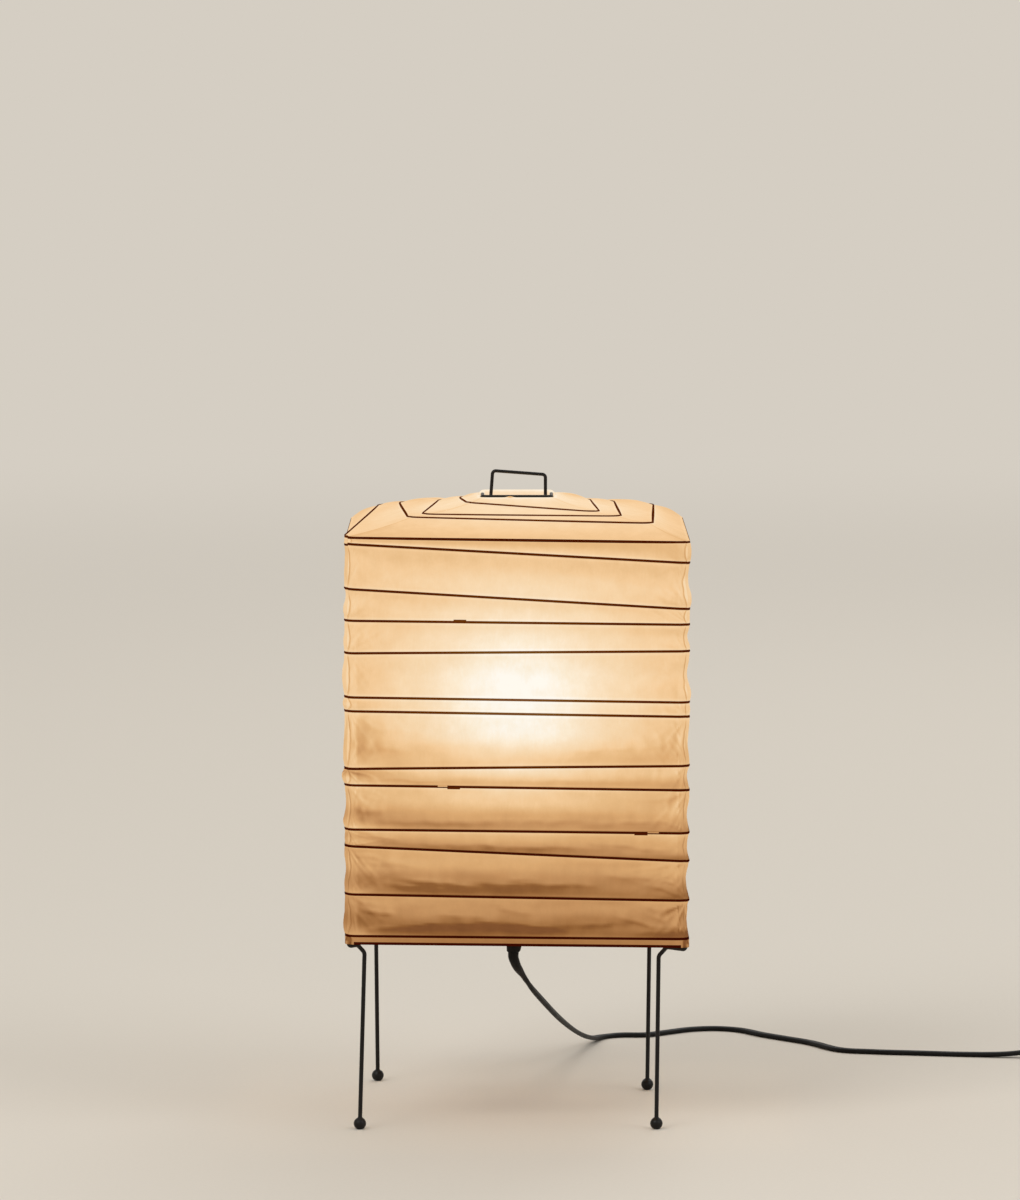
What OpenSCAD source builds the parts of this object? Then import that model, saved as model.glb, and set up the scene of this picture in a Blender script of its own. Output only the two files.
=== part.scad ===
// Paper table lamp: a square shade of washi over one continuous winding of split
// bamboo, held taut by a wire stretcher on a stand of four bent wire legs.
// Millimetres, +Z up. The origin is on the table under the middle of the shade,
// and the front of the lamp faces -Y.

/* [Shade] */
// Width and depth of the shade, inside its paper
shade_w = 240; // [200:2:280]
// Height of the bottom ring above the table
shade_z = 133; // [115:1:160]
// Height of the walls, from the bottom ring to the front left corner of the eave
wall_h = 285.5; // [240:0.5:340]
// Rise of the roof, from the eave to the top ring
roof_h = 21.5; // [16:0.5:40]
// Thickness of the washi with its paste
paper_t = 0.6; // [0.4:0.1:1]
// Radius of the shade's upright corners
corner_r = 8; // [6:0.5:12]
// How far the paper is drawn in between two turns, for each mm between them
sag_flat = 0.06; // [0.02:0.01:0.09]
// The same at the corners
sag_corner = 0.09; // [0.02:0.01:0.12]

/* [Bamboo winding] */
// Side of the split bamboo strip
strip_d = 2; // [1.2:0.1:2.4]
// Length over which two strips overlap at a splice
splice_l = 8; // [5:1:16]

/* [Wire rings] */
// Wire of the top and bottom rings
ring_d = 2.4; // [1.8:0.1:3]
// Side of the top ring, between the middles of its wires
top_ring_w = 49; // [42:1:70]
// Radius of the bends of the top ring
top_ring_r = 4; // [3:0.5:8]
// How far the bottom ring leans, up on the left
ring_lean = 0.58; // [0:0.01:0.8]
// Height of the paper strips inside the top ring
collar_h = 8; // [5:0.5:12]

/* [Stand] */
// Wire of the legs
leg_d = 3; // [2.4:0.1:3.6]
// Radius of the bends of the legs
leg_bend = 4; // [3:0.5:5]
// Diameter of the ball feet
ball_d = 8.8; // [7:0.1:14]
// Depth of the flat worn on each ball
ball_flat = 0.4; // [0.2:0.1:0.8]
// Diameter of the plate that the legs are welded to
plate_d = 56; // [48:1:70]
// Thickness of the plate
plate_t = 2; // [1.5:0.1:3]
// Distance between the middles of the stretcher's two feet
stretcher_w = 82; // [76:1:100]
// Height of the tubes that the stretcher stands in
socket_h = 12; // [8:1:20]
// Wall of those tubes
socket_wall = 1.2; // [0.8:0.1:2]

/* [Stretcher] */
// Wire of the stretcher and its handle
stretcher_d = 2.4; // [1.8:0.1:3]
// Width of the handle, between the middles of its wires
handle_w = 39; // [34:0.5:39]
// Height of the handle above the middle of the top ring
handle_h = 15.4; // [12:0.2:30]
// Radius of the bends of the handle
handle_bend = 2.4; // [2:0.1:2.6]

/* [Lampholder] */
// Diameter of the threaded stem
stem_d = 10; // [10:0.5:12]
// Bore of the stem
stem_bore = 8; // [7.4:0.1:8.4]
// Length of the stem above the plate
stem_h = 66; // [40:1:80]
// Length of the stem below the plate
stem_drop = 8; // [7:0.5:12]
// Diameter of the lampholder
holder_d = 40; // [38:1:46]
// Height of the lampholder
holder_h = 52; // [48:1:60]
// Inside diameter of the threaded sleeve
sleeve_d = 27; // [26.9:0.1:27.4]
// Height of the hexagon nuts
nut_h = 4; // [3:0.5:5]
// Width across the flats of the nuts
nut_w = 14; // [13:0.5:17]
// Length of the rubber cord gland
gland_l = 21; // [20:0.5:40]
// Diameter of the gland at its top
gland_d = 15; // [14:0.5:18]
// Diameter of the gland where the cord leaves it
gland_tip_d = 9.6; // [9:0.1:12]

/* [Bulb] */
// Diameter of the glass
bulb_d = 60; // [50:1:66]
// Length of the bulb over its cap
bulb_l = 107; // [100:1:112]
// Diameter of the screw cap
cap_d = 26.2; // [25.8:0.1:26.3]
// Thickness of the glass
glass_t = 0.9; // [0.7:0.1:1.5]

/* [Cord] */
// Width of the flat twin cord
cord_w = 6.8; // [6:0.1:7.2]
// Thickness of the flat twin cord
cord_t = 3.4; // [3:0.1:3.6]
// Radius of the put-away coil at the middle of its turns
coil_r = 35; // [34:0.5:40]
// Step between neighbouring turns of the coil
coil_step = 4.1; // [3.9:0.1:4.6]
// Length of the in-line switch
switch_l = 60; // [54:1:70]
// Width of the in-line switch
switch_w = 22; // [20:1:26]
// Height of the in-line switch
switch_h = 14; // [13:0.5:18]
// Length of the rocker
rocker_l = 20; // [16:1:24]
// Width of the rocker
rocker_w = 9; // [8:0.5:11]
// Tilt of the rocker to each side
rocker_tilt = 9; // [6:1:10]
// Length of the plug's body
plug_l = 32; // [28:1:38]
// Width of the plug's body
plug_w = 24; // [22:1:28]
// Height of the plug's body
plug_h = 17; // [15:0.5:20]
// Length of the plug's blades
blade_l = 17.5; // [16:0.5:18.5]
// Distance between the middles of the blades
blade_gap = 12.7; // [12.4:0.1:13]

/* [Hidden] */
$fn = 48;

// Clearances: pieces that touch, and pieces that slip into each other
seat = 0.15;
slip = 0.1;

// Winding pattern of the roof: how far out each corner lies, from the top ring at 0
// to the eave at 1, starting at the rear right corner and going clockwise from above
roof_turns = [
    0.03, 0.17,
    0.12, 0.35, 0.30, 0.34,
    0.44, 0.51, 0.48, 0.63,
    0.55, 0.74, 0.78, 0.80];
// Winding pattern of the front wall: how far down each turn begins on the left and
// ends on the right, from the eave at 0 to the bottom ring at 1
wall_turns = [
    [0, 0.012], [0.016, 0.063], [0.126, 0.176], [0.204, 0.214], [0.284, 0.279],
    [0.392, 0.405], [0.426, 0.44], [0.568, 0.561], [0.608, 0.621], [0.717, 0.727],
    [0.758, 0.796], [0.877, 0.893], [0.974, 0.982]];
// Turns of the front wall that carry a splice, with its place across the wall
splices = [[3, 0.33], [8, 0.32], [9, 0.88]];

half = shade_w / 2;
eave_z = shade_z + wall_h;
top_z = eave_z + roof_h;
top_half = top_ring_w / 2;
strip_in = strip_d / 2 + 0.25;
ring_half = half - ring_d / 2 - seat;
ring_r = corner_r + 1;
FRONT_LEFT = 0;
FRONT_RIGHT = 1;
REAR_RIGHT = 2;
REAR_LEFT = 3;
FIRST_EAVE = 16;
LAST_TURN = FIRST_EAVE + 4 * (len(wall_turns) - 1);

function mix(a, b, t) = a + (b - a) * t;
function unit(v) = v / norm(v);

// Height of the roof over a square of the given half width
function roof_share(s) = 1 - 1.94 * s + 2.78 * s * s - 1.84 * s * s * s;
function roof_z(w) = eave_z + roof_h * roof_share((w - top_half) / (half - top_half));
// Height of the leaning bottom ring at a corner
function ring_z(corner) =
    shade_z + (corner == FRONT_LEFT || corner == REAR_LEFT ? 1 : -1) * ring_half * sin(ring_lean);

// The hidden corners share out the drop from the front right corner to the next turn,
// and the last turn runs out at the back beside the bottom ring
function drop_share(turn, corner) = (corner - 1) / 3 + 0.07 * sin(turn * 140 + corner * 50);
function wall_share(turn, corner) =
    corner == FRONT_LEFT ? wall_turns[turn][0]
    : corner == FRONT_RIGHT ? wall_turns[turn][1]
    : turn == len(wall_turns) - 1 ? (corner == REAR_RIGHT ? 0.984 : 0.975)
    : mix(wall_turns[turn][1], wall_turns[turn + 1][0], drop_share(turn, corner));
// A corner of the winding: how far out it is, its height, and the way that points out
function corner_at(k) =
    k < FIRST_EAVE
    ? let (w = mix(top_half, half, roof_turns[k - 2])) [w, roof_z(w), 0.1, 1]
    : let (turn = floor((k - FIRST_EAVE) / 4), corner = (k - FIRST_EAVE) % 4)
      [half, mix(eave_z, shade_z, wall_share(turn, corner)),
       turn == 0 ? 0.75 : 1, turn == 0 ? 0.65 : 0];
function ring_corner(top, corner) =
    top ? [top_half + ring_d / 2 + seat, top_z - 0.3, 0.75, 0.65] : [half, ring_z(corner), 1, 0];

// Places along one side: the rounded corners' angles and the straight run between
arc_turns = [45, 22.5, 0];
run_steps = 4;
side_places = concat(
    [for (a = arc_turns) [0, a]],
    [for (i = [1:run_steps - 1]) [i / run_steps, 0]],
    [for (i = [2:-1:0]) [1, -arc_turns[i]]]);
last_place = len(side_places) - 1;
function corner_radius(w) = min(corner_r, top_ring_r + w - top_half);
// The point of a run at one place, moved out by off, as [along, out, height]
function run_point(a, b, place, off) =
    let (w = mix(a[0], b[0], place[0]),
         r = corner_radius(w),
         along = mix(-(a[0] - corner_radius(a[0])), b[0] - corner_radius(b[0]), place[0]),
         share = (along - r * sin(place[1]) + a[0]) / (a[0] + b[0]),
         lift = mix(a[3], b[3], place[0]) * off,
         out = r + mix(a[2], b[2], place[0]) * off)
    [along - out * sin(place[1]), w - r + out * cos(place[1]), mix(a[1], b[1], share) + lift];
// From a side's own directions to the row's: side 0 is the front, then right, back, left
function on_side(p, side) =
    let (c = cos(90 * side), s = sin(90 * side), x = p[0], y = -p[1])
    [c * x - s * y, s * x + c * y, p[2]];

// Runs of one side, from the top ring to the bottom ring, as pairs of corners
function first_run(side) = side < 2 ? side + 4 : side;
function side_runs(side, from, to) =
    [for (k = [from:4:to]) [corner_at(k), corner_at(k + 1)]];
function roof_runs(side) = concat(
    [[ring_corner(true, 0), ring_corner(true, 0)]],
    side_runs(side, first_run(side), FIRST_EAVE + side));
function wall_runs(side) =
    side_runs(side, FIRST_EAVE + side, min(LAST_TURN + side, LAST_TURN + REAR_RIGHT));

// Rows of the paper: each run, and the drawn-in paper between it and the next
band_steps = 3;
function band_point(upper, lower, place, t, off) =
    let (p = run_point(upper[0], upper[1], place, off),
         q = run_point(lower[0], lower[1], place, off),
         sag = (place[1] == 0 ? sag_flat : sag_corner) * min(norm(p - q), 45) * sin(180 * t),
         a = upper[0], b = lower[0],
         dir = unit([mix(a[2], b[2], t), mix(a[3], b[3], t)]))
    mix(p, q, t) - sag * [-dir[0] * sin(place[1]), dir[0] * cos(place[1]), dir[1]];
function paper_rows(runs, off) = concat(
    [for (i = [0:len(runs) - 2]) for (j = [0:band_steps - 1])
        [for (place = side_places) band_point(runs[i], runs[i + 1], place, j / band_steps, off)]],
    [[for (place = side_places)
        run_point(runs[len(runs) - 1][0], runs[len(runs) - 1][1], place, off)]]);
// The hem goes below the bottom ring, and is cut back at the corners for the legs' hooks
hem_drop = ring_d / 2 + 0.3;
hook_cut = ring_d / 2 + leg_d + 1.3;
function at_corner(j) = j < 2 || j > last_place - 2;
function hem_rows(upper, side, off) =
    let (lower = [ring_corner(false, side), ring_corner(false, (side + 1) % 4)],
         hem = [for (j = [0:last_place])
             run_point(lower[0], lower[1], side_places[j], off)
             - [0, 0, at_corner(j) ? -hook_cut : hem_drop]])
    concat(
        [for (i = [1:band_steps]) [for (j = [0:last_place])
            at_corner(j)
            ? mix(run_point(upper[0], upper[1], side_places[j], off), hem[j], i / (band_steps + 1))
            : band_point(upper, lower, side_places[j], i / band_steps, off)]],
        [hem]);

function grid_faces(rows, cols, from, flip) =
    [for (i = [0:rows - 2]) for (j = [0:cols - 2])
        let (a = from + i * cols + j, b = a + 1, c = a + cols, d = c + 1)
        each flip ? [[a, b, d], [a, d, c]] : [[a, d, b], [a, c, d]]];
function rim_faces(ring, shift) =
    [for (i = [0:len(ring) - 1])
        let (a = ring[i], b = ring[(i + 1) % len(ring)])
        each a < b
            ? [[a, b + shift, b], [a, a + shift, b + shift]]
            : [[a, a + shift, b], [b, a + shift, b + shift]]];
function grid_rim(rows, cols) = concat(
    [for (j = [0:cols - 1]) j],
    [for (i = [1:rows - 1]) i * cols + cols - 1],
    [for (j = [cols - 2:-1:0]) (rows - 1) * cols + j],
    [for (i = [rows - 2:-1:1]) i * cols]);
// A sheet between two grids of points
module sheet(outer, inner) {
    rows = len(outer);
    cols = len(outer[0]);
    polyhedron(
        [each for (row = outer) row, each for (row = inner) row],
        concat(
            grid_faces(rows, cols, 0, true),
            grid_faces(rows, cols, rows * cols, false),
            rim_faces(grid_rim(rows, cols), rows * cols)));
}
function turned(rows, side) = [for (row = rows) [for (p = row) on_side(p, side)]];

function wall_rows(runs, side, off) =
    concat(paper_rows(runs, off), hem_rows(runs[len(runs) - 1], side, off));
module paper_wall(side) {
    runs = wall_runs(side);
    color("cornsilk")
        sheet(turned(wall_rows(runs, side, paper_t), side), turned(wall_rows(runs, side, 0), side));
}
module paper_roof(side) {
    runs = roof_runs(side);
    color("ivory")
        sheet(turned(paper_rows(runs, paper_t), side), turned(paper_rows(runs, 0), side));
}

// A tube of one section along rings of points, closed at both ends
module tube(rings) {
    n = len(rings);
    m = len(rings[0]);
    polyhedron(
        [each for (ring = rings) ring],
        concat(
            [for (i = [0:n - 2]) for (j = [0:m - 1])
                let (a = i * m + j, b = i * m + (j + 1) % m)
                each [[a, b, b + m], [a, b + m, a + m]]],
            [for (j = [1:m - 2]) each [
                [0, j + 1, j],
                [(n - 1) * m, (n - 1) * m + j, (n - 1) * m + j + 1]]]));
}

// The bamboo strip: its section, narrower on the skin side, is carried along the corners
// and runs with that side to the paper. In the roof it lies a little deeper.
function strip_ring(k, place, drop) =
    let (a = corner_at(k), b = corner_at(k + 1), s = strip_d / 2, skin = 0.25 * s,
         dir = unit([mix(a[2], b[2], place[0]), mix(a[3], b[3], place[0])]),
         p = run_point(a, b, place, -strip_in - drop / 4 - 0.5 * min(1, 4 * dir[1])))
    [for (c = [[s, skin], [-s, s], [-s, -s], [s, -skin]])
        let (out = c[0] * dir[0] - c[1] * dir[1], lift = c[0] * dir[1] + c[1] * dir[0],
             q = [p[0] - out * sin(place[1]), p[1] + out * cos(place[1]), p[2] + lift - drop])
        on_side(q, k % 4)];
strip_places = [[0, 45], [0, 22.5], [0, 0], [1, 0], [1, -22.5]];
end_share = splice_l / 2 / shade_w;
// A strip from one place to another. It ends beside the next one at a splice, and the
// next one starts a strip's depth lower.
module strip(first, first_at, last, last_at) {
    low = strip_d + slip;
    start = first_at == 0
        ? []
        : [strip_ring(first, [first_at - end_share, 0], low),
           strip_ring(first, [first_at + end_share, 0], low),
           strip_ring(first, [first_at + 3 * end_share, 0], 0)];
    finish = last_at == 1 ? [] : [strip_ring(last, [last_at + end_share, 0], 0)];
    color("saddlebrown") tube(concat(
        start,
        [for (k = [first:last]) for (place = strip_places)
            if (!(k == first && first_at > 0 && place[0] == 0)
                && !(k == last && last_at < 1 && place[0] == 1))
            strip_ring(k, place, 0)],
        finish));
}
function splice_run(i) = FIRST_EAVE + 4 * splices[i][0];
module bamboo_upper() strip(2, 0, splice_run(0), splices[0][1]);
module bamboo_middle() strip(splice_run(0), splices[0][1], splice_run(1), splices[1][1]);
module bamboo_short() strip(splice_run(1), splices[1][1], splice_run(2), splices[2][1]);
module bamboo_lower() strip(splice_run(2), splices[2][1], LAST_TURN + REAR_RIGHT, 0.8);
// The loose end of the winding that ties the first turn to the top ring
tail_start = top_half + 2.2;
tail = [[tail_start, tail_start], [30, 35], [48, 52.5]];
module bamboo_tail() {
    s = strip_d / 2;
    color("saddlebrown") tube([for (p = tail)
        let (z = roof_z(p[1]) - strip_in - strip_d - 6 * seat)
        [for (c = [[s, -s], [-s, -s], [-s, s], [s, s]]) [p[0] + c[0] * 0.8, -p[1] - c[0] * 0.6, z + c[1]]]]);
}

// A round wire along straight legs, bent at each inner point to its own radius
module rod(a, b, d) {
    v = b - a;
    translate(a) rotate([0, acos(v[2] / norm(v)), atan2(v[1], v[0])])
        cylinder(h = norm(v), d = d);
}
wire_sides = 12;
function bend_steps(p, i, r) =
    let (u = unit(p[i] - p[i - 1]), v = unit(p[i + 1] - p[i]), turn = acos(u * v),
         m = unit(v - (u * v) * u), c = p[i] - u * r * tan(turn / 2) + m * r,
         n = max(2, ceil(turn / 30)))
    [for (j = [0:n]) let (a = turn * j / n)
        [c - m * r * cos(a) + u * r * sin(a), u * cos(a) + m * sin(a)]];
function wire_steps(p, bends) = concat(
    [[p[0], unit(p[1] - p[0])]],
    [for (i = [1:len(p) - 2]) each bend_steps(p, i, bends[i - 1])],
    [[p[len(p) - 1], unit(p[len(p) - 1] - p[len(p) - 2])]]);
// The side of the wire is carried along without twist
function carried(steps, side) =
    [for (i = 0, s = side; i < len(steps);
          i = i + 1, s = i < len(steps) ? unit(s - (s * steps[i][1]) * steps[i][1]) : s) s];
module wire(p, d, bends) {
    steps = wire_steps(p, bends);
    across = unit(cross(steps[0][1], bend_across(p)));
    sides = carried(steps, across);
    tube([for (i = [0:len(steps) - 1])
        let (up = cross(sides[i], steps[i][1]))
        [for (j = [0:wire_sides - 1]) let (a = 360 * (j + 0.5) / wire_sides)
            steps[i][0] + d / 2 * (cos(a) * sides[i] + sin(a) * up)]]);
}
// Any way that isn't along the wire's first leg: here the next leg, or the vertical
function bend_across(p) = let (v = p[2] - p[1]) norm(cross(v, p[1] - p[0])) > 0.01 ? v : [0, 0, 1];
module square_ring(h, d, r) {
    for (i = [0:3]) rotate(90 * i) {
        rod([-(h - r), -h, 0], [h - r, -h, 0], d, $fn = 24);
        translate([h - r, -(h - r), 0]) rotate(-90)
            rotate_extrude(angle = 90) translate([r, 0]) circle(d = d, $fn = 24);
    }
}

module top_ring() color("#26221f") translate([0, 0, top_z]) square_ring(top_half, ring_d, top_ring_r);
module bottom_ring() color("#26221f")
    translate([0, 0, shade_z]) rotate([0, ring_lean, 0]) square_ring(ring_half, ring_d, ring_r);
// Strips of paper pasted inside the front and back wires of the top ring
module ring_collar() color("cornsilk")
    for (s = [-1, 1])
        translate([0, s * (top_half - ring_d / 2 - seat - paper_t / 2), top_z + ring_d / 2 - collar_h / 2])
            cube([top_ring_w - 2 * top_ring_r, paper_t, collar_h], center = true);

// Legs: each is one wire from the hub to a hook round the corner of the bottom ring,
// then a knee and the shank down into its ball. Every leg is bent by hand, so each has
// its own knee and foot: [corner sign x, sign y, shank inside the side, knee drop,
// foot out of the knee in x, in y]
leg_shapes = [
    [-1, -1, 13, 6, 3.5, -1],
    [1, -1, 20.5, 7, -1.5, 6],
    [1, 1, 23, 7, -2, -24],
    [-1, 1, 17, 6, -1, 13]];
hook_h = ring_d / 2 + leg_d / 2 + seat;
hub_z = shade_z + hook_h;
plate_z = hub_z + leg_d / 2 + slip;
plate_top = plate_z + plate_t;
leg_inner = nut_w * 0.58 + stem_d * 0.3;
ball_z = ball_d / 2 - ball_flat;
corner_reach = (ring_half - ring_r) + ring_r / sqrt(2);
function foot_at(i) =
    let (l = leg_shapes[i])
    [l[0] * (half - l[2] + l[4]), l[1] * (half - l[2] + l[5]), ball_z];
function leg_path(i) =
    let (l = leg_shapes[i],
         z = ring_z(i),
         out = corner_reach + hook_h / sqrt(2),
         knee = half - l[2],
         shoulder = knee + l[3] * 0.8,
         way = [l[0], l[1], 0])
    [leg_inner * way + [0, 0, hub_z],
     out * way + [0, 0, z + hook_h],
     out * way + [0, 0, z - hook_h],
     shoulder * way + [0, 0, z - hook_h],
     knee * way + [0, 0, z - hook_h - l[3]],
     foot_at(i)];
// The hook turns tightly round the ring, and the knee is a wider bend
hook_bend = hook_h - 0.05;
module leg(i) color("#1c1a19") wire(leg_path(i), leg_d, [hook_bend, hook_bend, leg_bend, leg_bend]);
module foot(i) {
    p = leg_path(i);
    color("#1c1a19") difference() {
        translate(foot_at(i)) sphere(d = ball_d);
        rod(p[5], mix(p[5], p[4], 0.3), leg_d + 2 * slip);
        translate([p[5][0], p[5][1], -ball_d]) cylinder(h = ball_d, d = 2 * ball_d);
    }
}

// Stretcher: one wire, standing in two tubes on the plate, with its shoulders under the
// top ring and its handle above it
shoulder_z = top_z - ring_d / 2 - stretcher_d / 2 - seat;
shoulder_x = top_half + 1.5;
stretcher_x = stretcher_w / 2;
handle_shift = 0.8;
handle_lean = 1.4;
function stretcher_path() =
    let (l = -handle_w / 2 + handle_shift, r = handle_w / 2 + handle_shift)
    [[-stretcher_x, 0, plate_top + slip],
     [-stretcher_x, 0, shoulder_z - 34],
     [-shoulder_x, 0, shoulder_z],
     [l, 0, shoulder_z],
     [l + handle_lean, 0, top_z + handle_h + handle_lean],
     [r, 0, top_z + handle_h - handle_lean],
     [r, 0, shoulder_z],
     [shoulder_x, 0, shoulder_z],
     [stretcher_x, 0, shoulder_z - 34],
     [stretcher_x, 0, plate_top + slip]];
module stretcher() color("#1c1a19")
    wire(stretcher_path(), stretcher_d, [for (i = [1:8]) i == 1 || i == 8 ? 12 : handle_bend]);

socket_d = stretcher_d + 2 * (slip + socket_wall);
module stretcher_sockets() color("#3a3634")
    for (s = [-1, 1]) translate([s * stretcher_x, 0, plate_top]) difference() {
        cylinder(h = socket_h, d = socket_d);
        translate([0, 0, -1]) cylinder(h = socket_h + 2, d = stretcher_d + 2 * slip);
    }
module hub_plate() {
    ear = socket_d + 5;
    color("#3a3634") translate([0, 0, plate_z]) linear_extrude(plate_t) difference() {
        union() {
            circle(d = plate_d);
            square([stretcher_w, ear], center = true);
            for (s = [-1, 1]) translate([s * stretcher_x, 0]) circle(d = ear);
        }
        circle(d = stem_d + 2 * slip);
    }
}

// Lampholder on its threaded stem
washer_t = 1;
holder_z = plate_top + stem_h - 10;
base_h = 18;
wall = 2;
module stem() color("silver") translate([0, 0, plate_z - stem_drop]) difference() {
    cylinder(h = stem_drop + plate_t + stem_h, d = stem_d);
    translate([0, 0, -1]) cylinder(h = stem_drop + plate_t + stem_h + 2, d = stem_bore);
}
module ring(h, d, bore) difference() {
    cylinder(h = h, d = d);
    translate([0, 0, -1]) cylinder(h = h + 2, d = bore);
}
module stem_washers() color("silver")
    for (z = [plate_z - washer_t, plate_top])
        translate([0, 0, z]) ring(washer_t, nut_w + 3, stem_d + 2 * slip);
module stem_nuts() color("silver")
    for (z = [plate_z - washer_t - nut_h, plate_top + washer_t]) translate([0, 0, z])
        linear_extrude(nut_h) difference() {
            circle(d = nut_w / cos(30), $fn = 6);
            circle(d = stem_d + 2 * slip);
        }
gland_top = plate_z - washer_t - nut_h - seat;
gland_tip = gland_top - gland_l;
gland_lean = -2.5;
// The rubber gland is screwed on the stem's end and leans with the pull of the cord
module cord_gland() color("#181614") difference() {
    hull() {
        translate([0, 0, gland_top - 3]) cylinder(h = 3, d = gland_d, $fn = 32);
        translate([gland_lean, 0, gland_tip]) cylinder(h = 1, d = gland_tip_d, $fn = 32);
    }
    translate([0, 0, plate_z - stem_drop - slip]) cylinder(h = gland_l, d = stem_d + 2 * slip);
    for (z = [0.3, 0.45, 0.6])
        translate([gland_lean * (1 - z), 0, gland_tip + gland_l * z]) difference() {
            cylinder(h = 1.2, d = 2 * gland_d);
            translate([0, 0, -1]) cylinder(h = 4, d = mix(gland_tip_d, gland_d, z) - 1.8);
        }
}
module flat_twin(w, t) {
    for (s = [-1, 1]) translate([s * (w - t) / 2, 0]) circle(d = t, $fn = 24);
    square([w - t, t * 0.8], center = true);
}
insert_z = holder_z + base_h;
module inner_lead() color("#181614")
    translate([0, 0, plate_z - stem_drop + seat])
        linear_extrude(insert_z - seat - (plate_z - stem_drop + seat)) flat_twin(cord_w, cord_t);

module holder_cap() color("#2a2725") translate([0, 0, holder_z]) rotate_extrude()
    polygon([
        [stem_d / 2 + slip, 0], [8, 0], [8, 6], [holder_d / 2 - 3, 10], [holder_d / 2, 14],
        [holder_d / 2, base_h], [holder_d / 2 - wall, base_h], [holder_d / 2 - wall, 15],
        [holder_d / 2 - 4, 12.4], [stem_d / 2 + 3, 9], [stem_d / 2 + slip, 9]]);
module holder_skirt() color("#2a2725") translate([0, 0, insert_z + slip]) rotate_extrude()
    polygon([
        [holder_d / 2 - wall, 0], [holder_d / 2, 0], [holder_d / 2 - 0.6, 8],
        [holder_d / 2, 9], [holder_d / 2 - 0.8, holder_h - base_h - 2],
        [holder_d / 2 - 1.6, holder_h - base_h], [holder_d / 2 - 3.4, holder_h - base_h],
        [holder_d / 2 - 3.4, holder_h - base_h - 1.4], [holder_d / 2 - wall - 0.8, insert_h + 2],
        [holder_d / 2 - wall, insert_h + 1]]);
insert_h = 7;
insert_d = holder_d - 2 * wall - 2 * seat;
module holder_insert() color("whitesmoke") translate([0, 0, insert_z]) difference() {
    cylinder(h = insert_h, d = insert_d);
    for (a = [60, 180, 300]) rotate(a) translate([11, 0, -1]) cylinder(h = insert_h + 2, d = 3);
    translate([0, 0, -1]) cylinder(h = 3, d = 12);
}
sleeve_t = 0.5;
thread_pitch = 3.6;
sleeve_z = insert_z + insert_h;
sleeve_h = 24;
module thread_sleeve() color("goldenrod") translate([0, 0, sleeve_z + slip]) rotate_extrude()
    polygon(concat(
        [[sleeve_d / 2 - 6, 0], [sleeve_d / 2 + sleeve_t, 0]],
        [for (z = [1:0.9:sleeve_h]) [sleeve_d / 2 + sleeve_t + 0.3 * (1 - cos(360 * z / thread_pitch)), z]],
        [for (i = [sleeve_h:-0.9:1]) [sleeve_d / 2 + 0.3 * (1 - cos(360 * i / thread_pitch)), i]],
        [[sleeve_d / 2, sleeve_t], [sleeve_d / 2 - 6, sleeve_t]]));
// The bulb sits with its tip on the centre contact
tip_z = sleeve_z + 4;
module centre_contact() color("goldenrod") translate([0, 0, sleeve_z + slip]) {
    translate([-5, -2.5, 0]) cube([5, 5, 0.5]);
    translate([-5, -2.5, 0]) cube([0.5, 5, 3.6]);
    translate([-5, -2.5, 3.2]) cube([8, 5, 0.4]);
}

cap_h = 22;
module bulb_tip() color("goldenrod") translate([0, 0, tip_z]) rotate_extrude()
    polygon([[0, 0], [2.4, 0], [4.2, 0.8], [4.6, 2], [0, 2]]);
module bulb_insulator() color("#20242c") translate([0, 0, tip_z + 2]) rotate_extrude()
    polygon([[0, 0], [4.6, 0], [9.6, 2.6], [9.6, 3.4], [0, 3.4]]);
module bulb_cap() color("lightgray") translate([0, 0, tip_z + 5.4]) rotate_extrude()
    polygon(concat(
        [[9.6, 0], [cap_d / 2 - 0.9, 1.6]],
        [for (z = [1.8:0.9:16.2]) [cap_d / 2 - 0.3 * (1 + cos(360 * z / thread_pitch)), z]],
        [[cap_d / 2 - 0.3, 17], [cap_d / 2, cap_h - 0.4], [cap_d / 2 - 0.6, cap_h],
         [cap_d / 2 - 1.2, cap_h - 0.4], [cap_d / 2 - 1.6, 17], [cap_d / 2 - 1.6, 2.2], [9.6, 0.6]]));
// The glass: a neck that swells into a ball
glass_z = tip_z + 5.4 + cap_h + slip;
ball_mid = tip_z + bulb_l - bulb_d / 2;
neck_d = cap_d - 1.4;
function glass_line(inset) =
    let (r = bulb_d / 2 - inset, n = neck_d / 2 - inset, top = ball_mid, low = 52)
    concat(
        [[n, glass_z]],
        [for (i = [0:6])
            let (t = i / 6, s = t * t * (3 - 2 * t))
            [mix(n, r * cos(low), s), mix(glass_z + 3, top - r * sin(low), t)]],
        [for (a = [-low + 6:6:84]) [r * cos(a), top + r * sin(a)]]);
function backward(list) = [for (i = [len(list) - 1:-1:0]) list[i]];
module bulb_glass() color("#fff4dc") rotate_extrude()
    polygon(concat(
        glass_line(0), [[0, ball_mid + bulb_d / 2], [0, ball_mid + bulb_d / 2 - glass_t]],
        backward(glass_line(glass_t))));

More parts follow.
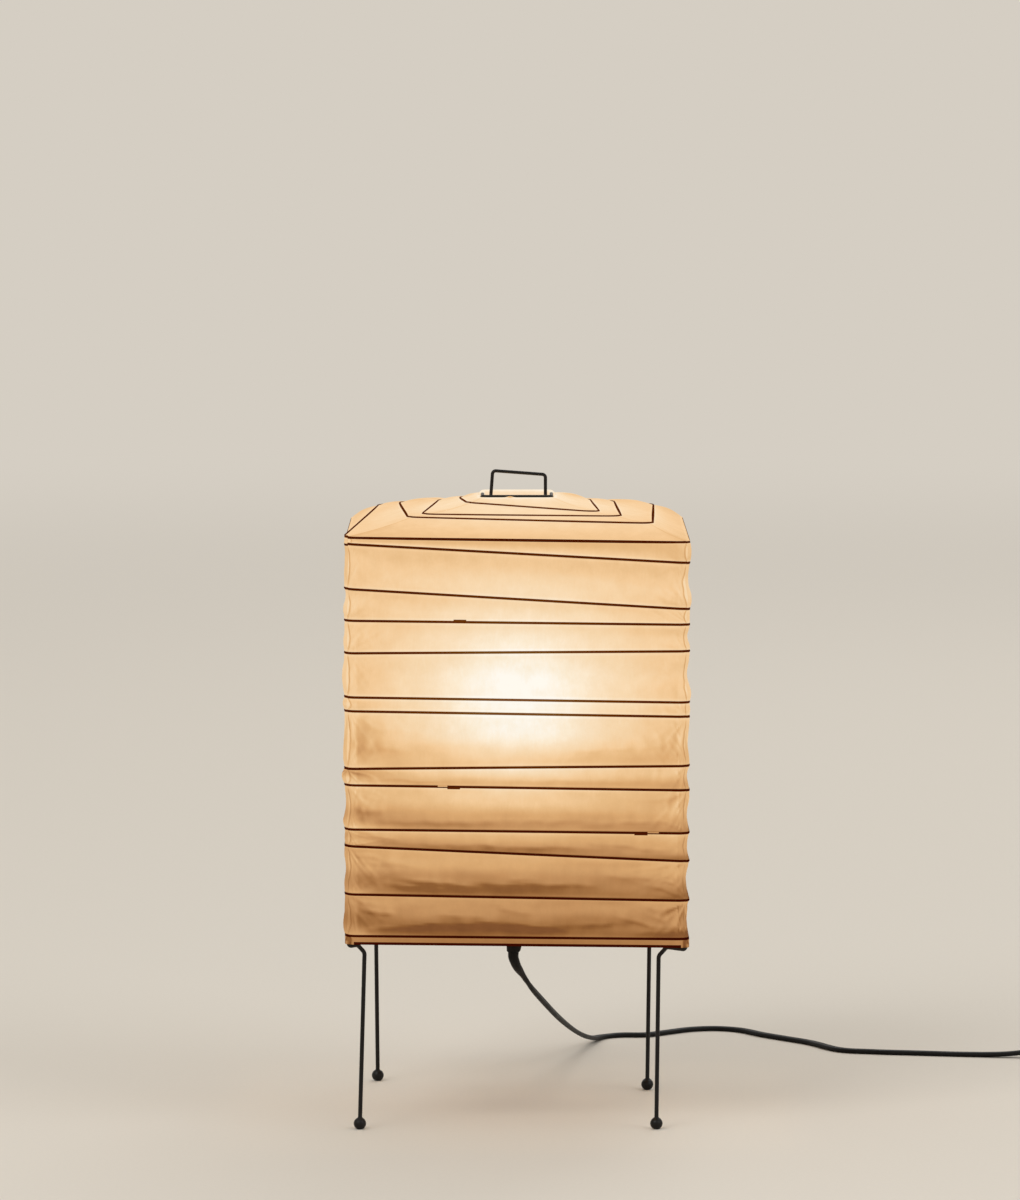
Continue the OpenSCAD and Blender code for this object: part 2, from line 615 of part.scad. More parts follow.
// Cord: a flat twin lead. It drops behind the lamp, lies along the table and leaves
// for the in-line switch, and the rest is wound up in a coil with the plug.
cord_route = [
    [-2.5, 0, gland_tip - seat], [-2.4, 0.8, 104], [1, 8, 98], [5, 22, 90], [10, 40, 80],
    [21, 80, 62], [30.5, 130, 45], [41, 195, 27], [50, 255, 13], [58, 298, 4.5],
    [66, 322, 1.8], [80, 331, 1.8], [99, 332, 1.8], [115, 345, 1.8], [133, 360, 1.8],
    [153, 365, 1.8], [172, 356, 1.8], [188, 333, 1.8], [204, 314, 1.8], [224, 290, 1.8],
    [243, 256, 1.8], [267, 246, 1.8], [302, 239, 1.8], [335, 233, 1.8], [362, 229, 2.4],
    [380, 227, 4.2], [394, 227, 7]];
switch_at = [394, 227];
cord_sub = 2;
function spline(p, i, t) =
    let (n = len(p) - 1, a = p[max(i - 1, 0)], b = p[i], c = p[min(i + 1, n)], d = p[min(i + 2, n)])
    0.5 * (2 * b + (c - a) * t + (2 * a - 5 * b + 4 * c - d) * t * t
        + (3 * b - a - 3 * c + d) * t * t * t);
cord_line = concat(
    [for (i = [0:len(cord_route) - 2]) for (j = [0:cord_sub - 1]) spline(cord_route, i, j / cord_sub)],
    [cord_route[len(cord_route) - 1]]);
function line_length(p) = [for (i = [1:len(p) - 1]) norm(p[i] - p[i - 1])] * [for (i = [1:len(p) - 1]) 1];
function way_at(p, i) = unit(p[min(i + 1, len(p) - 1)] - p[max(i - 1, 0)]);
// The flat side lies level, turned by roll about the cord
function flat_ring(c, way, roll, shape) =
    let (side = unit(cross(way, [0, 0, 1]) + [0.0001, 0, 0]), up = cross(side, way))
    [for (q = shape)
        c + (q[0] * cos(roll) - q[1] * sin(roll)) * side + (q[0] * sin(roll) + q[1] * cos(roll)) * up];
eight_sides = [
    [0.5, -0.2], [0.5, 0.2], [0.36, 0.5], [-0.36, 0.5],
    [-0.5, 0.2], [-0.5, -0.2], [-0.36, -0.5], [0.36, -0.5]];
six_sides = [[0.5, 0], [0.3, 0.5], [-0.3, 0.5], [-0.5, 0], [-0.3, -0.5], [0.3, -0.5]];
function flat_shape(sides) = [for (q = sides) [q[0] * cord_w, q[1] * cord_t]];
// The cord turns on its edge in the middle of the drop
function drop_roll(i) = 65 * pow(sin(180 * min(1, i / 20)), 2);
module cord() color("#141210") {
    n = len(cord_line) - 1;
    rings = [for (i = [0:n])
        flat_ring(
            cord_line[i],
            i == 0 ? [0, 0.01, -1] : i == n ? [1, 0, 0] : way_at(cord_line, i),
            drop_roll(i), flat_shape(eight_sides))];
    tube(rings);
}

// The coil: two turns in on the table, half a turn up, and out again on top
coil_lift = 1.2;
coil_turns = 4.25;
turns_in = 2;
coil_low = coil_lift + cord_w / 2;
coil_rise = cord_w + 0.6;
coil_mid = [switch_at[0] + switch_l + 36, switch_at[1] + coil_r + coil_step];
function climb(t) = let (s = max(0, min(1, (t - turns_in) / 0.5))) s * s * (3 - 2 * s);
function coil_radius(t) =
    coil_r + coil_step
    - coil_step * (t < turns_in ? t : t < turns_in + 0.5 ? turns_in : 2 * turns_in + 0.5 - t);
function coil_point(t) =
    [coil_mid[0] + coil_radius(t) * sin(360 * t),
     coil_mid[1] - coil_radius(t) * cos(360 * t),
     coil_low + coil_rise * climb(t)];
coil_rings = 24;
coil_line = [for (i = [0:coil_turns * coil_rings]) coil_point(i / coil_rings)];
coil_end = coil_point(coil_turns);
lead_in = [
    [switch_at[0] + switch_l, switch_at[1], switch_h / 2],
    [switch_at[0] + switch_l + cord_w, switch_at[1], switch_h / 2],
    [switch_at[0] + switch_l + 20, switch_at[1], mix(switch_h / 2, coil_low, 0.7)]];
plug_at = [coil_end[0], coil_end[1] + 38, plug_h / 2];
lead_out = [
    [plug_at[0], mix(coil_end[1], plug_at[1], 0.4), mix(coil_end[2], plug_at[2], 0.4)],
    [plug_at[0], plug_at[1] - cord_w, plug_at[2]],
    plug_at];
put_away = concat(lead_in, coil_line, lead_out);
// The cord lies flat in the switch and the plug, and stands on its edge in the coil
function put_away_roll(i) =
    let (last = len(put_away) - 1)
    i < 2 || i > last - 2 ? 0 : i == 2 || i == last - 2 ? 55 : 90;
module cord_coil() color("#141210")
    tube([for (i = [0:len(put_away) - 1])
        let (last = len(put_away) - 1,
             way = i < 2 ? [1, 0, 0] : i > last - 2 ? [0, 1, 0] : way_at(put_away, i))
        flat_ring(put_away[i], way, put_away_roll(i), flat_shape(six_sides))]);
// The least gap of the coil to itself, over its section's points a half turn or more apart
coil_skin = [for (i = [0:len(coil_line) - 1])
    flat_ring(coil_line[i], way_at(coil_line, i), 90, flat_shape(six_sides))];
coil_gap = min([for (i = [0:len(coil_skin) - 1]) for (j = [i + coil_rings / 2:len(coil_skin) - 1])
    for (a = coil_skin[i]) min([for (b = coil_skin[j]) norm(a - b)])]);
echo(cord_length = line_length(cord_line), coil_length = line_length(put_away), coil_gap = coil_gap);

// A strap round the bundle of turns, on the side away from the switch
tie_w = 7;
tie_t = 0.8;
module coil_tie() {
    inner = coil_r - coil_step - cord_t / 2 - 1.2;
    outer = coil_r + coil_step + cord_t / 2 + 1.2;
    top = coil_lift + 2 * cord_w + 0.6 + 0.3;
    low = coil_lift - 0.3;
    color("#23201e") translate([coil_mid[0], coil_mid[1], 0]) rotate(115)
        translate([0, tie_w / 2, 0]) rotate([90, 0, 0]) linear_extrude(tie_w) difference() {
            translate([inner - tie_t, low - tie_t]) square([outer - inner + 2 * tie_t, top - low + 2 * tie_t]);
            translate([inner, low]) square([outer - inner, top - low]);
        }
}

// The in-line switch: base, cover with its rocker on a pin, and two screws
module switch_outline(inset) {
    r = switch_w / 2;
    translate([switch_at[0] + switch_l / 2, switch_at[1]]) intersection() {
        union() {
            square([switch_l - 2 * r, switch_w - 2 * inset], center = true);
            for (s = [-1, 1]) translate([s * (switch_l / 2 - r), 0]) circle(r = r - inset);
        }
        square([switch_l - 2, switch_w], center = true);
    }
}
rocker_mid = [switch_at[0] + switch_l / 2, switch_at[1]];
rocker_gap = 0.5;
pin_z = switch_h - 4;
pin_d = 2;
screw_x = switch_l / 2 - 10;
module cord_ports() {
    for (x = [switch_at[0] - 1, switch_at[0] + switch_l - 4])
        translate([x, switch_at[1], switch_h / 2]) rotate([90, 0, 90]) linear_extrude(5)
            flat_twin(cord_w + 0.6, cord_t + 0.6);
}
module switch_base() color("#1b1917") difference() {
    union() {
        linear_extrude(switch_h / 2 - slip / 2) switch_outline(0);
        for (x = [0, 1]) translate([switch_at[0] + 2 + x * (switch_l - 4), switch_at[1], switch_h / 2])
            rotate([0, 90, 0]) translate([0, 0, -2]) cylinder(h = 4, d = cord_t + 5);
    }
    cord_ports();
    translate([switch_at[0] - 5, switch_at[1] - switch_w, switch_h / 2 - slip / 2])
        cube([switch_l + 10, 2 * switch_w, switch_h]);
    translate([rocker_mid[0] - rocker_l / 2 - 1, rocker_mid[1] - rocker_w / 2 - 1, 2])
        cube([rocker_l + 2, rocker_w + 2, switch_h]);
    for (s = [-1, 1]) translate([rocker_mid[0] + s * screw_x, rocker_mid[1], -1]) {
        cylinder(h = switch_h, d = 2.2 + 2 * slip);
        cylinder(h = 3, d = 4.4 + 2 * slip);
    }
}
module switch_cover() color("#1b1917") difference() {
    union() {
        translate([0, 0, switch_h / 2 + slip / 2]) linear_extrude(switch_h / 2 - 1.2) switch_outline(0);
        translate([0, 0, switch_h - 1.2]) linear_extrude(1.2) switch_outline(0.8);
    }
    cord_ports();
    translate([rocker_mid[0] - rocker_l / 2 - rocker_gap, rocker_mid[1] - rocker_w / 2 - rocker_gap, 0])
        cube([rocker_l + 2 * rocker_gap, rocker_w + 2 * rocker_gap, 2 * switch_h]);
    translate([rocker_mid[0], rocker_mid[1] + rocker_w, pin_z]) rotate([90, 0, 0])
        cylinder(h = 2 * rocker_w, d = pin_d + 0.1);
    for (s = [-1, 1]) translate([rocker_mid[0] + s * screw_x, rocker_mid[1], 0])
        cylinder(h = switch_h - 3, d = 1.8 + 2 * slip);
}
// The rocker's top is a shallow vee, and one half of it is down in each position
module switch_rocker() {
    l = rocker_l / 2;
    rise = 2.6;
    color("#0f0e0d") translate([rocker_mid[0], rocker_mid[1], pin_z]) rotate([0, rocker_tilt, 0])
        rotate([90, 0, 0]) translate([0, 0, -rocker_w / 2]) linear_extrude(rocker_w) difference() {
            polygon([
                [-l + 0.6, rise + l * tan(rocker_tilt)], [0, rise], [l - 0.6, rise + l * tan(rocker_tilt)],
                [l - 0.2, 1], [5, -3], [-5, -3], [-l + 0.2, 1]]);
            circle(d = pin_d + 0.1);
        }
}
module rocker_pin() color("silver")
    translate([rocker_mid[0], rocker_mid[1] + rocker_w / 2 + 2.5, pin_z]) rotate([90, 0, 0])
        cylinder(h = rocker_w + 5, d = pin_d);
module switch_screws() color("silver")
    for (s = [-1, 1]) translate([rocker_mid[0] + s * screw_x, rocker_mid[1], 0.6]) difference() {
        union() {
            cylinder(h = 1.3, d = 4.4);
            cylinder(h = switch_h - 5, d = 1.8);
        }
        translate([-0.4, -3, -1]) cube([0.8, 6, 1.6]);
    }

// The plug: a moulded body with finger grips and two flat blades
module plug_body() {
    neck = 9;
    color("#181614") translate(plug_at) rotate([-90, 0, 0]) difference() {
        union() {
            hull() {
                linear_extrude(1) square([neck + 2, neck], center = true);
                translate([0, 0, plug_l * 0.45]) linear_extrude(1) square([plug_w - 2, plug_h - 1], center = true);
            }
            translate([0, 0, plug_l * 0.45]) hull() {
                linear_extrude(1) square([plug_w - 2, plug_h - 1], center = true);
                translate([0, 0, plug_l * 0.15]) linear_extrude(plug_l * 0.4) square([plug_w, plug_h], center = true);
            }
        }
        for (s = [-1, 1]) for (i = [0:2])
            translate([s * plug_w / 2, 0, plug_l * 0.6 + i * 3.4]) cube([1.6, plug_h + 2, 1.4], center = true);
        for (s = [-1, 1]) translate([s * blade_gap / 2, 0, plug_l])
            cube([1.6 + 0.2, 6.3 + 0.2, 12], center = true);
    }
}
module plug_blades() color("gainsboro") translate(plug_at) rotate([-90, 0, 0])
    for (s = [-1, 1]) translate([s * blade_gap / 2, 0, plug_l - 5.8]) rotate([0, 0, 90])
        translate([0, 0.8, 0]) rotate([90, 0, 0]) linear_extrude(1.6) difference() {
            translate([-3.15, 0]) square([6.3, blade_l + 5.8 - 1.2]);
            translate([0, blade_l + 5.8 - 8]) circle(d = 3);
        }

paper_wall(0);  // paper_front
paper_wall(1);  // paper_right
paper_wall(2);  // paper_back
paper_wall(3);  // paper_left
paper_roof(0);  // roof_front
paper_roof(1);  // roof_right
paper_roof(2);  // roof_back
paper_roof(3);  // roof_left
bamboo_upper();
bamboo_middle();
bamboo_short();
bamboo_lower();
bamboo_tail();
top_ring();
ring_collar();
bottom_ring();
leg(FRONT_LEFT);  // leg_front_left
leg(FRONT_RIGHT);  // leg_front_right
leg(REAR_RIGHT);  // leg_rear_right
leg(REAR_LEFT);  // leg_rear_left
foot(FRONT_LEFT);  // foot_front_left
foot(FRONT_RIGHT);  // foot_front_right
foot(REAR_RIGHT);  // foot_rear_right
foot(REAR_LEFT);  // foot_rear_left
hub_plate();
stretcher();
stretcher_sockets();
stem();
stem_nuts();
stem_washers();
cord_gland();
inner_lead();
holder_cap();
holder_skirt();
holder_insert();
thread_sleeve();
centre_contact();
bulb_glass();
bulb_cap();
bulb_insulator();
bulb_tip();
cord();
cord_coil();
coil_tie();
switch_base();
switch_cover();
switch_rocker();
rocker_pin();
switch_screws();
plug_body();
plug_blades();
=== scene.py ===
import math
import random

import bpy
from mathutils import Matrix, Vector, noise


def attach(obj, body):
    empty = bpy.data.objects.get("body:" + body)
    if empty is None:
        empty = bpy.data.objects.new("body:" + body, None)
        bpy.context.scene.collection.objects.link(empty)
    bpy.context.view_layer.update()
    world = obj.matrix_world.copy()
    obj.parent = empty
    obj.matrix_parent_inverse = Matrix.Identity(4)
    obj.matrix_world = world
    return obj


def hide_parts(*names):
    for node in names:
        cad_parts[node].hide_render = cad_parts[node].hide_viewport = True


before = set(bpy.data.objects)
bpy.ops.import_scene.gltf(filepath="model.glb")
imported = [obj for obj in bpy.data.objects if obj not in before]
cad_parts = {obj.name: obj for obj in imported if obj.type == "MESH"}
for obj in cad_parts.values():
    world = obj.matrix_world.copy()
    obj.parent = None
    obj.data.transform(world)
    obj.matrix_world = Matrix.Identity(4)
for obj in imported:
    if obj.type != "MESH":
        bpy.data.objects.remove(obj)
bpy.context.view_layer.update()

# Everything below is worked out in millimetres, in the frame of the part, and put
# into the scene in metres.
MM = 0.001


# ---------------------------------------------------------------- camera
# Straight in front, looking a little down on the roof, with a long lens
lens_camera = bpy.data.cameras.new("photo_camera")
lens_camera.sensor_width = 36
lens_camera.lens = 215.1
camera = bpy.data.objects.new("photo_camera", lens_camera)
camera.location = (-0.00495, -5.0972, 0.8093)
camera.rotation_euler = (math.radians(90 - 4.99), 0, 0)
bpy.context.scene.collection.objects.link(camera)
bpy.context.scene.camera = camera


# ---------------------------------------------------------------- small helpers
def mix(a, b, t):
    return a + (b - a) * t


def clamp(value, low, high):
    return max(low, min(high, value))


def ease(t):
    t = clamp(t, 0, 1)
    return t * t * (3 - 2 * t)


def table_value(table, x):
    """Reads a table of (place, value) rows, straight between two rows."""
    if x <= table[0][0]:
        return table[0][1]
    for (x0, y0), (x1, y1) in zip(table, table[1:]):
        if x <= x1:
            return mix(y0, y1, (x - x0) / (x1 - x0))
    return table[-1][1]


def wander(x, y, z):
    """Smooth unevenness between -1 and 1, the same in every run."""
    return noise.noise(Vector((x, y, z)))


def circle(count):
    """Cosine and sine of even steps round a circle."""
    steps = [2 * math.pi * i / count for i in range(count)]
    return [(math.cos(a), math.sin(a)) for a in steps]


def squared(value, power):
    """A cosine or sine raised so that its circle turns into a rounded slab."""
    return math.copysign(abs(value) ** power, value)


def srgb(code):
    """A colour written as #RRGGBB in sRGB, as linear red, green, blue and alpha."""
    parts = [int(code[i:i + 2], 16) / 255 for i in (1, 3, 5)]
    linear = [c / 12.92 if c <= 0.04045 else ((c + 0.055) / 1.055) ** 2.4 for c in parts]
    return (*linear, 1.0)


def per_mm(size):
    """The scale of a pattern whose features are so many millimetres across."""
    return 1 / (size * MM)


# ---------------------------------------------------------------- materials
def add(tree, kind, inputs=None, into=None, stops=(), **settings):
    """Adds a node with its settings, inputs and colour stops. A node given as an input
    stands for its first output, and the new node's first output goes into one socket."""
    node = tree.nodes.new("ShaderNode" + kind)
    for name, value in settings.items():
        setattr(node, name, value)
    for name, value in (inputs or {}).items():
        if isinstance(value, bpy.types.Node):
            value = value.outputs[0]
        if isinstance(value, bpy.types.NodeSocket):
            tree.links.new(value, node.inputs[name])
        else:
            node.inputs[name].default_value = value
    if stops:
        elements = node.color_ramp.elements
        while len(elements) < len(stops):
            elements.new(0.5)
        for element, (at, colour) in zip(elements, stops):
            element.position, element.color = at, colour
    if into is not None:
        tree.links.new(node.outputs[0], into)
    return node


def surface(name, **sockets):
    """A material with one surface shader, its node tree and the place on the piece."""
    material = bpy.data.materials.new(name)
    material.use_nodes = True
    tree = material.node_tree
    tree.nodes.clear()
    shader = add(tree, "BsdfPrincipled", {k.replace("_", " "): v for k, v in sockets.items()})
    add(tree, "OutputMaterial", {"Surface": shader})
    return material, tree, shader.inputs, add(tree, "TexCoord").outputs["Object"]


def shade(code, share=1.0, lift=0.0):
    """A written colour, made darker or paler."""
    return tuple(c * share + lift for c in srgb(code)[:3]) + (1.0,)


def vary(tree, sockets, pattern, colours, low, high):
    """Lets one pattern change the colour of a surface, and its roughness from low to high."""
    add(tree, "ValToRGB", {"Fac": pattern}, sockets["Base Color"], colours)
    add(tree, "ValToRGB", {"Fac": pattern}, sockets["Roughness"],
        [(0.35, (low, low, low, 1)), (0.65, (high, high, high, 1))])


# Paper tones from dim to bright, by the light that comes through
PAPER_TONES = [
    (0.10, "#7C4F28"), (0.14, "#8D5E33"), (0.20, "#A67546"), (0.31, "#C2905E"),
    (0.43, "#D9A871"), (0.54, "#E7BB85"), (0.62, "#F2CA98"), (0.71, "#F6D7AD"),
    (0.79, "#F9E1BF"), (0.86, "#FCECD2"), (0.96, "#FEF9EE")]
# The same paper where a strip of bamboo behind it casts its shadow: tones of painted shadow
RIB_SHADOW_TONES = [
    (0.10, "#350800"), (0.40, "#421000"), (0.62, "#4F1B00"), (0.75, "#622C02"),
    (0.86, "#704414"), (0.96, "#7A4C26")]
# The paper's own colour, and the dark colour of the painted shadow of the bamboo
UNLIT_WASHI, UNLIT_RIB_SHADOW = "#7A5230", "#1E0701"
# Share of its written colour that an upright wall shows in the studio light
STUDIO_SHARE = 0.85
# How flat the fibres lie along the wall, and how bright the lit bulb glass stands
FIBRE_LIE, BULB_GLOW = 0.22, 7.0


def glow_stops(tones, unlit):
    """What the lamp adds to the studio light on the paper, to give each tone."""
    own = srgb(unlit)[:3]
    return [(at, tuple(max(0.0, c - o * STUDIO_SHARE) for c, o in zip(srgb(code), own)) + (1,))
            for at, code in tones]


def washi(name, tones, unlit, mottle, gloss):
    """Washi, laid by hand from long kozo fibres: matte, cloudy where the fibres lie
    thicker, with single fibres that show. They are drawn as clumps, since one fibre is
    too fine for the picture. The light from inside is carried by the glow that is
    worked out for each point of the paper."""
    material, tree, sockets, place = surface(
        name, Roughness=0.95, IOR=1.5, Specular_IOR_Level=gloss, Emission_Strength=1.0)
    clouds = add(tree, "TexNoise", {
        "Vector": place, "Scale": per_mm(11), "Detail": 5.0, "Roughness": 0.6})
    lie = add(tree, "Mapping", {"Vector": place, "Scale": (1, 1, FIBRE_LIE)})
    fibres = add(tree, "TexNoise", {
        "Vector": lie, "Scale": per_mm(2.4), "Detail": 4.0, "Distortion": 1.6})
    glow = add(tree, "Attribute", attribute_name="glow").outputs["Fac"]
    for pattern, part in ((clouds, mottle), (fibres, 0.5 * mottle)):
        uneven = add(tree, "MapRange", {
            "Value": pattern, "From Min": 0.3, "From Max": 0.7,
            "To Min": 1 - part, "To Max": 1 + part})
        glow = add(tree, "Math", {0: glow, 1: uneven}, operation="MULTIPLY")
    add(tree, "ValToRGB", {"Fac": glow}, sockets["Emission Color"], glow_stops(tones, unlit))
    add(tree, "ValToRGB", {"Fac": clouds}, sockets["Base Color"],
        [(0.3, shade(unlit, 0.92)), (0.7, shade(unlit, 1.06))])
    add(tree, "Bump", {"Height": fibres, "Strength": 0.35, "Distance": 0.12 * MM},
        sockets["Normal"])
    return material


def enamelled_steel(name, colour, rough):
    """Stove enamel on drawn steel wire: satin black, with the ripple of an enamel that
    flowed a little, rubbed thinner in places so that the sheen changes along the wire."""
    material, tree, sockets, place = surface(name, IOR=1.5, Specular_IOR_Level=0.22)
    ripple = add(tree, "TexNoise", {"Vector": place, "Scale": per_mm(0.9), "Detail": 2.0})
    rub = add(tree, "TexNoise", {
        "Vector": place, "Scale": per_mm(14), "Detail": 6.0, "Roughness": 0.65})
    vary(tree, sockets, rub, [(0.42, shade(colour)), (0.68, shade(colour, 1.6, 0.002))],
         rough - 0.08, rough + 0.12)
    add(tree, "Bump", {"Height": ripple, "Strength": 0.25, "Distance": 0.05 * MM},
        sockets["Normal"])
    return material


def split_bamboo(name):
    """Bamboo split and shaved by hand: straight fibre bundles along the strip, darker
    pores between them, and no varnish."""
    material, tree, sockets, place = surface(name, Roughness=0.62, IOR=1.5)
    bundles = add(tree, "TexNoise", {"Vector": place, "Scale": per_mm(0.7), "Detail": 3.0})
    length = add(tree, "TexNoise", {"Vector": place, "Scale": per_mm(30), "Detail": 3.0})
    both = add(tree, "Math", {0: bundles, 1: length}, operation="MULTIPLY")
    add(tree, "ValToRGB", {"Fac": both}, sockets["Base Color"],
        [(0.12, srgb("#3B1C0B")), (0.25, srgb("#6E4220")), (0.4, srgb("#9A6B38"))])
    add(tree, "Bump", {"Height": bundles, "Strength": 0.5, "Distance": 0.15 * MM},
        sockets["Normal"])
    return material


def bright_metal(name, colour, rough):
    """Plated, drawn or rolled metal: bright, and clouded by handling."""
    material, tree, sockets, place = surface(name, Metallic=1.0)
    cloud = add(tree, "TexNoise", {"Vector": place, "Scale": per_mm(3), "Detail": 4.0})
    vary(tree, sockets, cloud, [(0.35, shade(colour, 0.8)), (0.65, shade(colour))],
         rough - 0.06, rough + 0.1)
    return material


def soft_black(name, colour, rough, grain_mm, depth_mm, dust):
    """Black rubber or vinyl from a mould or an extruder: no gloss of its own, a fine
    grain, and a breath of dust that greys it. The real grain of 0.1 mm is too fine for
    the picture, so it is drawn as coarse as it needs to show."""
    material, tree, sockets, place = surface(name, IOR=1.52, Specular_IOR_Level=0.14)
    grain = add(tree, "TexNoise", {"Vector": place, "Scale": per_mm(grain_mm), "Detail": 3.0})
    bloom = add(tree, "TexNoise", {
        "Vector": place, "Scale": per_mm(18), "Detail": 6.0, "Roughness": 0.7})
    vary(tree, sockets, bloom, [(0.4, shade(colour)), (0.75, shade(colour, 1 - dust, 0.09 * dust))],
         rough - 0.05, rough + 0.1)
    add(tree, "Bump", {"Height": grain, "Strength": 0.4, "Distance": depth_mm * MM},
        sockets["Normal"])
    return material


def moulded(name, colour, rough, grain_mm, depth_mm, coat=0.0):
    """Resin from a steel mould, or fired clay or glass: even colour, its gloss set by
    the grain of the mould. That is 0.1 mm too, and is drawn as coarse as it needs to
    show."""
    material, tree, sockets, place = surface(name, IOR=1.5, Coat_Weight=coat, Coat_Roughness=0.1)
    grain = add(tree, "TexVoronoi", {"Vector": place, "Scale": per_mm(grain_mm)})
    rub = add(tree, "TexNoise", {"Vector": place, "Scale": per_mm(9), "Detail": 5.0})
    vary(tree, sockets, rub, [(0.35, shade(colour)), (0.7, shade(colour, 1.25, 0.002))],
         rough - 0.04, rough + 0.08)
    add(tree, "Bump", {"Height": grain, "Strength": 0.35, "Distance": depth_mm * MM},
        sockets["Normal"])
    return material


def lit_glass(name, neck_low, neck_high):
    """Opal-frosted bulb glass, lit: the light stands evenly on it and falls off
    towards the neck."""
    material, tree, sockets, place = surface(
        name, Roughness=0.35, IOR=1.5, Emission_Strength=BULB_GLOW)
    height = add(tree, "SeparateXYZ", {"Vector": place}).outputs["Z"]
    neck = add(tree, "MapRange", {
        "Value": height, "From Min": neck_low * MM, "From Max": neck_high * MM})
    for socket, at_neck, above in (
            ("Emission Color", "#6B3D14", "#FFDFA8"), ("Base Color", "#E9E4D8", "#F6F1E6")):
        add(tree, "ValToRGB", {"Fac": neck}, sockets[socket],
            [(0.0, srgb(at_neck)), (1.0, srgb(above))])
    return material


WASHI = washi("kozo_washi", PAPER_TONES, UNLIT_WASHI, 0.03, 0.12)
# The same washi, with painted shadow where bamboo strips and the bottom ring lie behind it
WASHI_RIB_SHADOW = washi("kozo_washi_painted_rib_shadow", RIB_SHADOW_TONES, UNLIT_RIB_SHADOW, 0.02, 0.0)
BAMBOO = split_bamboo("split_moso_bamboo")
WIRE_ENAMEL = enamelled_steel("stove_enamelled_steel_wire", "#0E0B0A", 0.4)
PLATE_ENAMEL = enamelled_steel("stove_enamelled_steel_plate", "#191614", 0.44)
ZINC = bright_metal("zinc_plated_steel", "#C9C6BE", 0.32)
NICKEL = bright_metal("nickel_plated_brass", "#D6D0C2", 0.2)
BRASS = bright_metal("drawn_brass", "#D2A554", 0.28)
ALUMINIUM = bright_metal("rolled_aluminium", "#D5D4D2", 0.3)
GLAND_RUBBER = soft_black("moulded_epdm_rubber", "#100E0D", 0.62, 0.5, 0.04, 0.12)
CORD_VINYL = soft_black("extruded_vinyl_cord", "#0D0B0A", 0.5, 0.8, 0.03, 0.08)
PLUG_VINYL = soft_black("moulded_vinyl_plug", "#100E0D", 0.5, 0.6, 0.05, 0.12)
PHENOLIC = moulded("moulded_phenolic_resin", "#241A15", 0.3, 0.7, 0.02, 0.3)
STEATITE = moulded("fired_steatite", "#DDD6C6", 0.6, 0.4, 0.03)
VITRITE = moulded("black_vitrite_glass", "#0D0D11", 0.12, 2.0, 0.01, 0.5)
SWITCH_RESIN = moulded("spark_grained_urea_resin", "#171412", 0.45, 0.55, 0.06)
ROCKER_RESIN = moulded("polished_urea_resin", "#0E0C0B", 0.22, 1.5, 0.01, 0.4)
BULB_GLASS = lit_glass("opal_frosted_bulb_glass", 256, 290)


# ---------------------------------------------------------------- building pieces
def add_piece(name, points, faces, finishes, slot, stands_for=(), body="root",
              faces_of_second=(), sharp=40):
    """Makes a piece from points in millimetres and rides it on its body. The slot that it is given
    is not used.
    """
    mesh = bpy.data.meshes.new(name)
    mesh.from_pydata([Vector(p) * MM for p in points], [], faces)
    for material in finishes:
        mesh.materials.append(material)
    for i in faces_of_second:
        mesh.polygons[i].material_index = 1
    mesh.polygons.foreach_set("use_smooth", [True] * len(mesh.polygons))
    mesh.set_sharp_from_angle(angle=math.radians(sharp))
    mesh.update()
    piece = bpy.data.objects.new(name, mesh)
    bpy.context.scene.collection.objects.link(piece)
    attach(piece, body)
    if stands_for:
        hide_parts(*stands_for)
    return piece


def skin(rings, loop=False, ends=True):
    """Points and faces of a skin over rings that all have the same number of points."""
    n, m = len(rings), len(rings[0])
    points = [p for ring in rings for p in ring]
    faces = []
    for i in range(n if loop else n - 1):
        a, b = i * m, (i + 1) % n * m
        faces += [(a + j, a + (j + 1) % m, b + (j + 1) % m, b + j) for j in range(m)]
    if ends and not loop:
        faces.append(tuple(reversed(range(m))))
        faces.append(tuple(range((n - 1) * m, n * m)))
    return points, faces


def dress(material, *names):
    """Gives CAD nodes that keep their shape their finish."""
    for name in names:
        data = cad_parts[name].data
        if not data.materials:
            data.materials.append(material)
        for i in range(len(data.materials)):
            data.materials[i] = material


# ---------------------------------------------------------------- cord
# A flat twin cord, 6.8 by 3.4 mm. It drops from the gland to the table behind the shade,
# runs to the right and reaches the in-line switch. The rest is wound up with the plug.
CORD_W, CORD_T = 6.8, 3.4
CORD_ROUTE = [
    (-2.5, 0, 111.15), (-2.4, 0.8, 104), (1, 8, 98), (5, 22, 90), (10, 40, 80),
    (21, 80, 62), (30.5, 130, 45), (41, 195, 27), (50, 255, 13), (58, 298, 4.5),
    (66, 322, 1.8), (80, 331, 1.8), (99, 332, 1.8), (115, 345, 1.8), (133, 360, 1.8),
    (153, 365, 1.8), (172, 356, 1.8), (188, 333, 1.8), (204, 314, 1.8), (224, 290, 1.8),
    (243, 256, 1.8), (267, 246, 1.8), (302, 239, 1.8), (335, 233, 1.8), (362, 229, 2.4),
    (380, 227, 4.2), (394, 227, 7)]
# Steps from one point of the route to the next
CORD_STEPS = 6
# How far out the groove between the two cores lies, as a share of a core's radius, and
# how level the cord has to run for its sides to lie flat
GROOVE, LEVEL_RUN = 0.72, 0.5
# The in-line switch: its near end, length and width
SWITCH_X, SWITCH_Y, SWITCH_L, SWITCH_W = 394, 227, 60, 22
SWITCH_END, SWITCH_MID = SWITCH_X + SWITCH_L, SWITCH_X + SWITCH_L / 2
# Heights of the cord's middle in the switch and in the plug
IN_SWITCH_Z, IN_PLUG_Z = 7, 8.5
